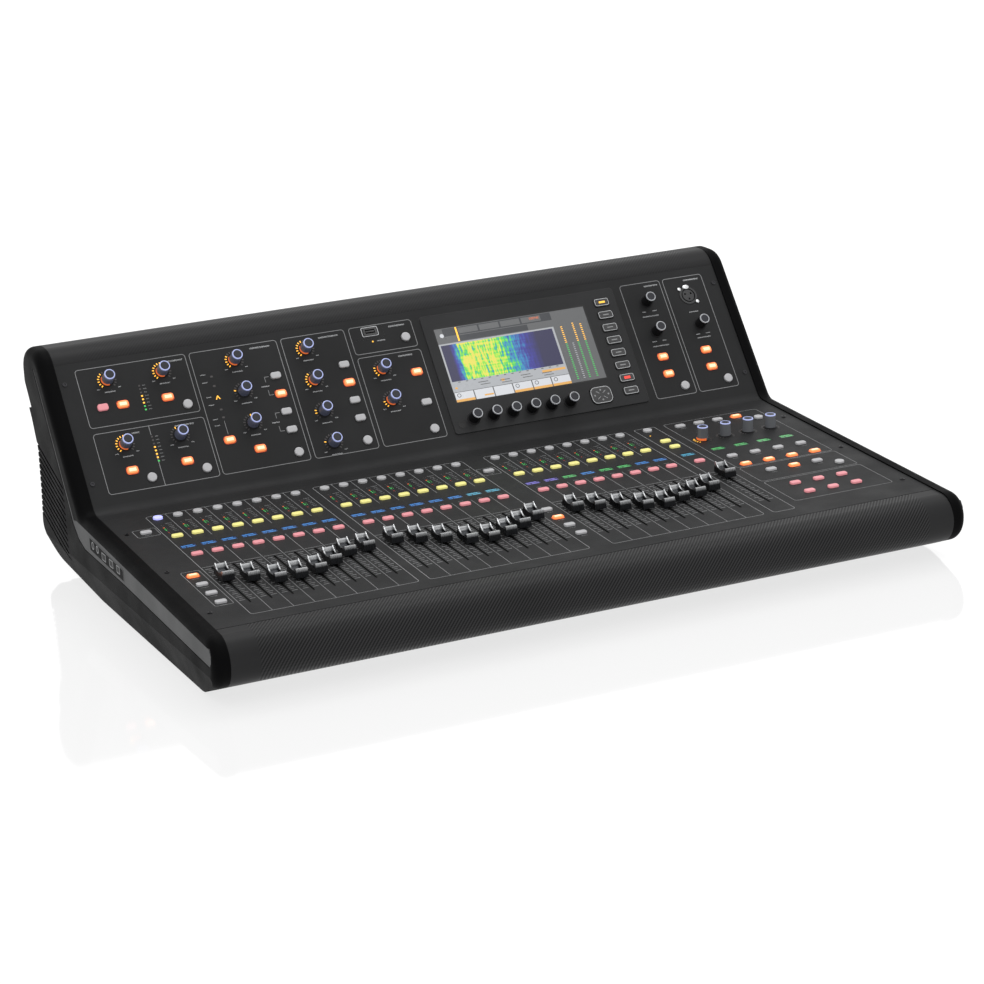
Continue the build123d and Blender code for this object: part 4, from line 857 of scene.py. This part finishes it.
def lcd(shapes, centre, colour):
    """One small display: a glowing field with a few brighter strokes."""
    back, marks = shapes[colour]
    x, y = centre
    back.slab(DECK, rounded(centre, 17.6, 8.6, 0.6, 2), -0.4, -0.22)
    for shift, width, row in ((-1.0, 12.5, 2.2), (2.6, 8.5, -2.0)):
        marks.bar(DECK, (x + shift - width / 2, y + row), (x + shift + width / 2, y + row), 1.3, -0.25, -0.15)
        label(marks, DECK, x + shift, y + row, width, 2.6, -0.25, -0.12)
    icon = (x - 5.6, y - 1.6)
    marks.frame(DECK, rounded(icon, 3.6, 3.2, 0.8, 2), rounded(icon, 2.5, 2.1, 0.5, 2), -0.25, -0.12)


def small_displays():
    shapes = {colour: (Shape(), Shape()) for colour in LCD_BACKS}
    for centre, colour in zip(forward(CHANNELS, [144.0]), CHANNEL_COLOURS):
        lcd(shapes, centre, colour)
    lcd(shapes, (MAIN_X, -144.0), "teal")
    for centre in forward(ASSIGN_X, [142.0]):
        lcd(shapes, centre, "green")
    for colour, (back, marks) in shapes.items():
        back.piece(f"lcd_{colour}_fields", LCD_BACKS[colour], "channel_screen")
        marks.piece(f"lcd_{colour}_strokes", LCD_MARKS[colour], "channel_screen")


def section_lamps():
    """Meter columns, band icons and single lamps of the control panel."""
    amber, green, off, words = Shape(), Shape(), Shape(), Shape()
    columns = [((-336.0, 128.0), 8, (3, 4, 5), (6, 7)), ((-338.0, 64.0), 8, (3, 4, 5, 6), (7,))]
    for (x, top), count, warm, cool in columns:
        for k in range(count):
            target = amber if k in warm else green if k in cool else off
            target.slab(PANEL, rounded((x, top + 18.0 - 4.3 * k), 2.2, 1.9, 0.3, 1), 0.0, 0.12)
            label(words, PANEL, x + 5.6, top + 18.0 - 4.3 * k, 3.2, 1.0)
    amber.bar(PANEL, (-251.0, 114.0), (-248.6, 118.6), 1.1, 0.0, 0.12)
    amber.bar(PANEL, (-248.6, 118.6), (-246.4, 114.0), 1.1, 0.0, 0.12)
    for row in (143.0, 131.0, 101.0, 91.0):
        off.slab(PANEL, rounded((-249.0, row), 3.2, 2.2, 0.6, 2), 0.0, 0.1)
    amber.slab(PANEL, circle((-43.0, 154.8), 1.0, 12), 0.0, 0.15)
    amber.slab(DECK, circle((MAIN_X - 6.0, -62.0), 0.9, 12), 0.0, 0.15)
    amber.piece("section_lamps_amber", LAMP_AMBER, "key_orange")
    green.piece("section_lamps_green", LAMP_GREEN, "channel_screen")
    off.piece("section_lamps_off", LAMP_OFF, "key_black")
    words.piece("section_scales", PRINT, "trim_grey")


channel_meters()
small_displays()
section_lamps()


# ---- Colour screen ----------------------------------------------------------------------
SCREEN_FACE = 1.1
ON_GLASS = (SCREEN_FACE, SCREEN_FACE + 0.1)
SX, SY = (SCREEN[1] - SCREEN[0]), (SCREEN[3] - SCREEN[2])


def on_screen(left, right, low, high):
    """Outline of a part of the screen given in fractions of its width and height."""
    x0, x1 = SCREEN[0] + SX * left, SCREEN[0] + SX * right
    y0, y1 = SCREEN[2] + SY * low, SCREEN[2] + SY * high
    return [(x0, y0), (x1, y0), (x1, y1), (x0, y1)]


def screen_glow(name, color, strength=0.75):
    return lit(name, color, strength, 0.3, tuple(0.12 * c for c in color))


def spectrogram():
    """Dark blue field with green and yellow streaks fading to the right."""
    surface = Surface("spectrogram", (0.01, 0.01, 0.02), 0.3)
    split = surface.node("ShaderNodeSeparateXYZ")
    surface.link(surface.node("ShaderNodeTexCoord").outputs["Generated"], split.inputs[0])
    across, _, up = split.outputs
    stretched = surface.node("ShaderNodeCombineXYZ")
    surface.link(surface.math("MULTIPLY", across, 58.0), stretched.inputs[0])
    surface.link(surface.math("MULTIPLY", up, 3.4), stretched.inputs[1])
    columns = surface.node("ShaderNodeTexNoise")
    columns.inputs["Scale"].default_value = 1.0
    columns.inputs["Detail"].default_value = 3.0
    surface.link(stretched.outputs[0], columns.inputs["Vector"])
    flat = surface.node("ShaderNodeCombineXYZ")
    surface.link(surface.math("MULTIPLY", across, 2.2), flat.inputs[0])
    surface.link(surface.math("MULTIPLY", up, 13.0), flat.inputs[1])
    rows = surface.node("ShaderNodeTexNoise")
    rows.inputs["Scale"].default_value = 1.0
    rows.inputs["Detail"].default_value = 2.0
    surface.link(flat.outputs[0], rows.inputs["Vector"])
    rise = surface.math("DIVIDE", surface.math("SUBTRACT", across, 0.07), 0.10, clamp=True)
    fall = surface.math("DIVIDE", surface.math("SUBTRACT", 0.84, across), 0.42, clamp=True)
    body = surface.math("MULTIPLY", rise, fall)
    bands = surface.math("MULTIPLY", columns.outputs["Fac"], 1.7)
    speckle = surface.math("MULTIPLY", rows.outputs["Fac"], 0.9)
    noise = surface.math("ADD", bands, speckle)
    level = surface.math("MULTIPLY", body, surface.math("SUBTRACT", noise, 0.52), clamp=True)
    ramp = surface.node("ShaderNodeValToRGB")
    ramp.color_ramp.elements[0].color = (0.012, 0.010, 0.06, 1)
    ramp.color_ramp.elements[1].position = 0.86
    ramp.color_ramp.elements[1].color = (0.95, 0.85, 0.10, 1)
    stops = ((0.22, (0.03, 0.03, 0.35, 1)), (0.42, (0.02, 0.30, 0.60, 1)))
    stops += ((0.56, (0.05, 0.70, 0.12, 1)), (0.70, (0.42, 0.95, 0.03, 1)))
    for position, color in stops:
        ramp.color_ramp.elements.new(position).color = color
    surface.link(level, ramp.inputs[0])
    surface.feed(ramp.outputs[0], "Emission Color")
    surface.shader.inputs["Emission Strength"].default_value = 0.85
    surface.shader.inputs["Base Color"].default_value = (0.01, 0.01, 0.02, 1)
    return surface.material


def screen_part(name, outlines, material, rise):
    """Parts of the picture of one colour, a hair above the glass."""
    shape = Shape()
    for outline in outlines:
        shape.slab(PANEL, outline, SCREEN_FACE, SCREEN_FACE + rise)
    return shape.piece(name, material, "screen")


def colour_screen():
    grey = screen_glow("screen_grey", (0.16, 0.165, 0.17), 0.55)
    dark = screen_glow("screen_dark", (0.045, 0.05, 0.06), 0.5)
    light = screen_glow("screen_light", (0.55, 0.57, 0.60), 0.62)
    white = screen_glow("screen_white", (0.80, 0.82, 0.86), 0.70)
    orange = screen_glow("screen_orange", (0.95, 0.50, 0.12), 0.70)
    screen_part("screen_ground", [on_screen(0.0, 1.0, 0.0, 1.0)], grey, 0.03)
    bars = [on_screen(0.05, 0.77, 0.885, 0.99), on_screen(0.14, 0.60, 0.80, 0.875)]
    screen_part("screen_top_bar", bars, dark, 0.06)
    tabs = [on_screen(0.152 + 0.14 * k, 0.28 + 0.14 * k, 0.90, 0.975) for k in range(4)]
    screen_part("screen_tabs", tabs, grey, 0.09)
    screen_part("screen_frame", [on_screen(0.0, 0.765, 0.245, 0.79)], light, 0.05)
    field = screen_part("screen_spectrogram", [on_screen(0.012, 0.752, 0.275, 0.77)], spectrogram(), 0.08)
    screen_part("screen_strip", [on_screen(0.0, 0.765, 0.135, 0.245)], light, 0.05)
    tiles = [on_screen(0.004 + 0.128 * k, 0.125 + 0.128 * k, 0.0, 0.128) for k in range(6)]
    screen_part("screen_tiles", tiles, white, 0.06)
    feet = [on_screen(0.004 + 0.128 * k, 0.125 + 0.128 * k, 0.0, 0.035) for k in (0, 3, 4, 5)]
    feet += [on_screen(0.60, 0.755, 0.205, 0.235), on_screen(0.325, 0.345, 0.185, 0.215)]
    feet += [on_screen(0.19, 0.25, 0.03, 0.05), on_screen(0.02, 0.035, 0.175, 0.2)]
    screen_part("screen_accents", feet, orange, 0.10)
    dials, strokes = Shape(), Shape()
    for k in (0, 3, 4, 5):
        x = SCREEN[0] + SX * (0.03 + 0.128 * k)
        y = SCREEN[2] + SY * 0.088
        dials.frame(PANEL, circle((x, y), 2.6, 20), circle((x, y), 1.9, 20), *ON_GLASS)
    for k in range(1, 5):
        y = SCREEN[2] + SY * (0.15 + 0.018 * (k % 2) + 0.05)
        x = SCREEN[0] + SX * (0.07 + 0.14 * k)
        strokes.bar(PANEL, (x - 7, y), (x + 6, y), 1.0, *ON_GLASS)
        strokes.bar(PANEL, (x - 5, y - 3.2), (x + 8, y - 3.2), 0.9, *ON_GLASS)
    for k in range(14):
        x, y = SCREEN[0] + SX * (0.05 + 0.05 * k), SCREEN[2] + SY * 0.262
        strokes.bar(PANEL, (x, y), (x + 3.0, y), 1.1, *ON_GLASS)
    clock = Shape()
    label(clock, PANEL, SCREEN[0] + SX * 0.66, SCREEN[2] + SY * 0.945, 13.0, 3.0, *ON_GLASS)
    clock.piece("screen_clock", LAMP_ORANGE, "screen")
    dials.piece("screen_dials", dark, "screen")
    strokes.piece("screen_strokes", grey, "screen")
    yellow = Shape().slab(PANEL, on_screen(0.135, 0.145, 0.80, 0.99), *ON_GLASS)
    yellow.piece("screen_cursor", LAMP_AMBER, "screen")
    spot = Shape().slab(PANEL, circle((SCREEN[0] + 8.0, SCREEN[2] + SY * 0.90), 2.6, 20), *ON_GLASS)
    spot.piece("screen_spot", white, "screen")
    ladders = {"green": Shape(), "amber": Shape(), "pale": Shape()}
    for column, (fraction, top) in enumerate(((0.815, 0.93), (0.858, 0.60), (0.895, 0.96), (0.945, 0.93))):
        for k in range(31):
            share = 1.0 - k / 30
            if share > top:
                continue
            y = SCREEN[2] + SY * (0.05 + 0.80 * share)
            x = SCREEN[0] + SX * fraction
            kind = "pale" if column == 1 else "amber" if share > 0.62 else "green"
            ladders[kind].bar(PANEL, (x - 1.2, y), (x + 1.2, y), 0.95, *ON_GLASS)
    ladders["green"].piece("screen_meters_green", LAMP_GREEN, "screen")
    ladders["amber"].piece("screen_meters_amber", LAMP_AMBER, "screen")
    ladders["pale"].piece("screen_meters_pale", light, "screen")
    return field


colour_screen()


def bezel_groove():
    """Dark joint round the bezel, a dark surround round the screen and the phones port."""
    groove = Shape()
    rim = (BEZEL[0] - 1.0, BEZEL[1] + 1.0, BEZEL[2] - 1.0, BEZEL[3] + 1.0)
    groove.frame(PANEL, box_outline(rim, 0.0, 5.0), box_outline(BEZEL, 0.0, 4.0), 0.0, 0.05)
    groove.piece("bezel_joint", PIN_DARK, "socket_black")
    window = Shape()
    outer = box_outline((SCREEN[0] - 1.6, SCREEN[1] + 1.6, SCREEN[2] - 1.6, SCREEN[3] + 1.6), 0.0, 2.0)
    inner = box_outline(SCREEN, 0.0, 0.4)
    window.frame(PANEL, outer, inner, BEZEL_RISE - 0.2, BEZEL_RISE + 0.04)
    window.piece("screen_surround", PIN_DARK, "socket_black")
    jack = Shape()
    jack.frame(PANEL, circle((34.1, 32.1), 5.0), circle((34.1, 32.1), 3.7), BEZEL_RISE, BEZEL_RISE + 0.25)
    jack.slab(PANEL, circle((34.1, 32.1), 3.7), BEZEL_RISE, BEZEL_RISE + 0.04)
    jack.piece("phones_port", PIN_DARK, "socket_black")


bezel_groove()


def talk_socket_trim():
    """Bright latch tab and two bright screws of the talkback socket."""
    centre = (380.6, 149.8)
    latch, screws = Shape(), Shape()
    rows = [(3.9, 0.7), (3.9, 1.1), (3.3, 1.5), (1.4, 1.65)]
    top = (centre[0], centre[1] + 11.4)
    turns = [2 * pi * k / 28 for k in range(28)]
    ovals = []
    for r, z in rows:
        oval = [(top[0] + 1.15 * r * cos(a), top[1] + 0.72 * r * sin(a)) for a in turns]
        ovals.append(raised(oval, z))
    latch.loops(PANEL, ovals, smooth=True)
    for dx, dy in ((-9.6, 9.6), (9.6, -9.6)):
        spot = (centre[0] + dx, centre[1] + dy)
        profile = [(2.35, 0.7), (2.3, 1.1), (1.6, 1.45), (0.5, 1.55)]
        screws.loops(PANEL, [raised(circle(spot, r, 20), z) for r, z in profile], smooth=True)
    latch.piece("talk_socket_latch", SILVER, "screw_steel")
    screws.piece("talk_socket_screws", SILVER, "screw_steel")


talk_socket_trim()


SIDE = Matrix(((0, 0, -1, -445.1), (-1, 0, 0, 0), (0, 1, 0, 0), (0, 0, 0, 1)))


def side_port_plate():
    """Small framed plate with ports, let into the rear end of the left wedge."""
    outline = [(-92.0, 63.6), (24.0, 59.5), (26.0, 61.0), (26.0, 73.2), (24.0, 74.6), (-92.0, 79.8)]
    inner = [(-90.8, 64.9), (23.4, 60.9), (24.6, 62.0), (24.6, 72.2), (23.4, 73.3), (-90.8, 78.5)]
    plate = Shape().slab(SIDE, inner, 0.0, 0.12)
    edge = Shape().frame(SIDE, outline, inner, 0.0, 0.2)
    ports, holes = Shape(), Shape()
    for x in (-80.0, -64.0):
        ports.frame(SIDE, circle((x, 72.2), 4.4), circle((x, 72.2), 3.2), 0.1, 0.3)
        holes.slab(SIDE, circle((x, 72.2), 3.2), 0.1, 0.16)
    for x, width in ((-42.0, 14.0), (-16.0, 13.0), (8.0, 11.0)):
        centre = (x, 69.4)
        ports.frame(SIDE, rounded(centre, width, 8.6, 1.2), rounded(centre, width - 1.8, 6.8, 0.7), 0.1, 0.3)
        holes.slab(SIDE, rounded(centre, width - 1.8, 6.8, 0.7), 0.1, 0.16)
    plate.piece("side_port_plate", MOULDED, "moulding_black")
    edge.piece("side_port_edge", TRIM, "trim_grey")
    ports.piece("side_port_rims", PRINT, "trim_grey")
    holes.piece("side_port_holes", PIN_DARK, "socket_black")


side_port_plate()


# ---- Stage ------------------------------------------------------------------------------
def pale_floor():
    surface = Surface("pale_floor", (0.16, 0.16, 0.16), 0.06, specular=0.4)
    surface.grain(60.0, 0.0000001, vary=0.004, rough_vary=0.01)
    surface.glow((1.0, 1.0, 1.0), 0.75)
    mesh = bpy.data.meshes.new("floor")
    reach = 9.0
    corners = [(-reach, -reach, 0), (reach, -reach, 0), (reach, reach, 0), (-reach, reach, 0)]
    mesh.from_pydata(corners, [], [(0, 1, 2, 3)])
    mesh.materials.append(surface.material)
    floor = bpy.data.objects.new("floor", mesh)
    bpy.context.scene.collection.objects.link(floor)


def area_light(name, place, target, size, power, size_y=None):
    lamp = bpy.data.lights.new(name, "AREA")
    lamp.energy = power
    lamp.shape = "RECTANGLE"
    lamp.size = size
    lamp.size_y = size_y or size
    made = bpy.data.objects.new(name, lamp)
    made.location = place
    aim = Vector(target) - Vector(place)
    made.rotation_euler = aim.to_track_quat("-Z", "Y").to_euler()
    bpy.context.scene.collection.objects.link(made)


def lighting():
    world = bpy.data.worlds.new("soft_white")
    world.use_nodes = True
    world.node_tree.nodes["Background"].inputs[0].default_value = (1.0, 1.0, 1.0, 1.0)
    world.node_tree.nodes["Background"].inputs[1].default_value = 1.0
    bpy.context.scene.world = world
    area_light("key_light", (-1.6, -1.9, 2.6), (0.0, 0.0, 0.1), 1.8, 14.0)
    area_light("strip_light", (1.0, -0.75, 2.2), (0.0, -0.3, 0.08), 2.6, 7.0, 0.22)
    area_light("top_light", (0.3, 0.6, 2.6), (0.0, 0.0, 0.1), 2.2, 20.0, 1.0)


def camera():
    """Camera fitted to the photograph's viewpoint."""
    focal, centre_x, centre_y = 2951.0, 513.0, 491.5
    right = Vector((0.90162, -0.43015, -0.04535))
    down = Vector((-0.16584, -0.24695, -0.95473))
    ahead = Vector((0.39948, 0.86832, -0.29399))
    lens = bpy.data.cameras.new("camera")
    lens.sensor_width = 36.0
    lens.lens = focal / 984.0 * 36.0
    lens.shift_x = (492.0 - centre_x) / 984.0
    lens.shift_y = (centre_y - 492.0) / 984.0
    lens.clip_end = 50.0
    made = bpy.data.objects.new("camera", lens)
    turn = Matrix((right, -down, -ahead)).transposed().to_4x4()
    made.matrix_world = Matrix.Translation(Vector((-1.31883, -2.93423, 1.0665))) @ turn
    bpy.context.scene.collection.objects.link(made)
    bpy.context.scene.camera = made


pale_floor()
lighting()
camera()
bpy.context.scene.view_settings.view_transform = "Standard"
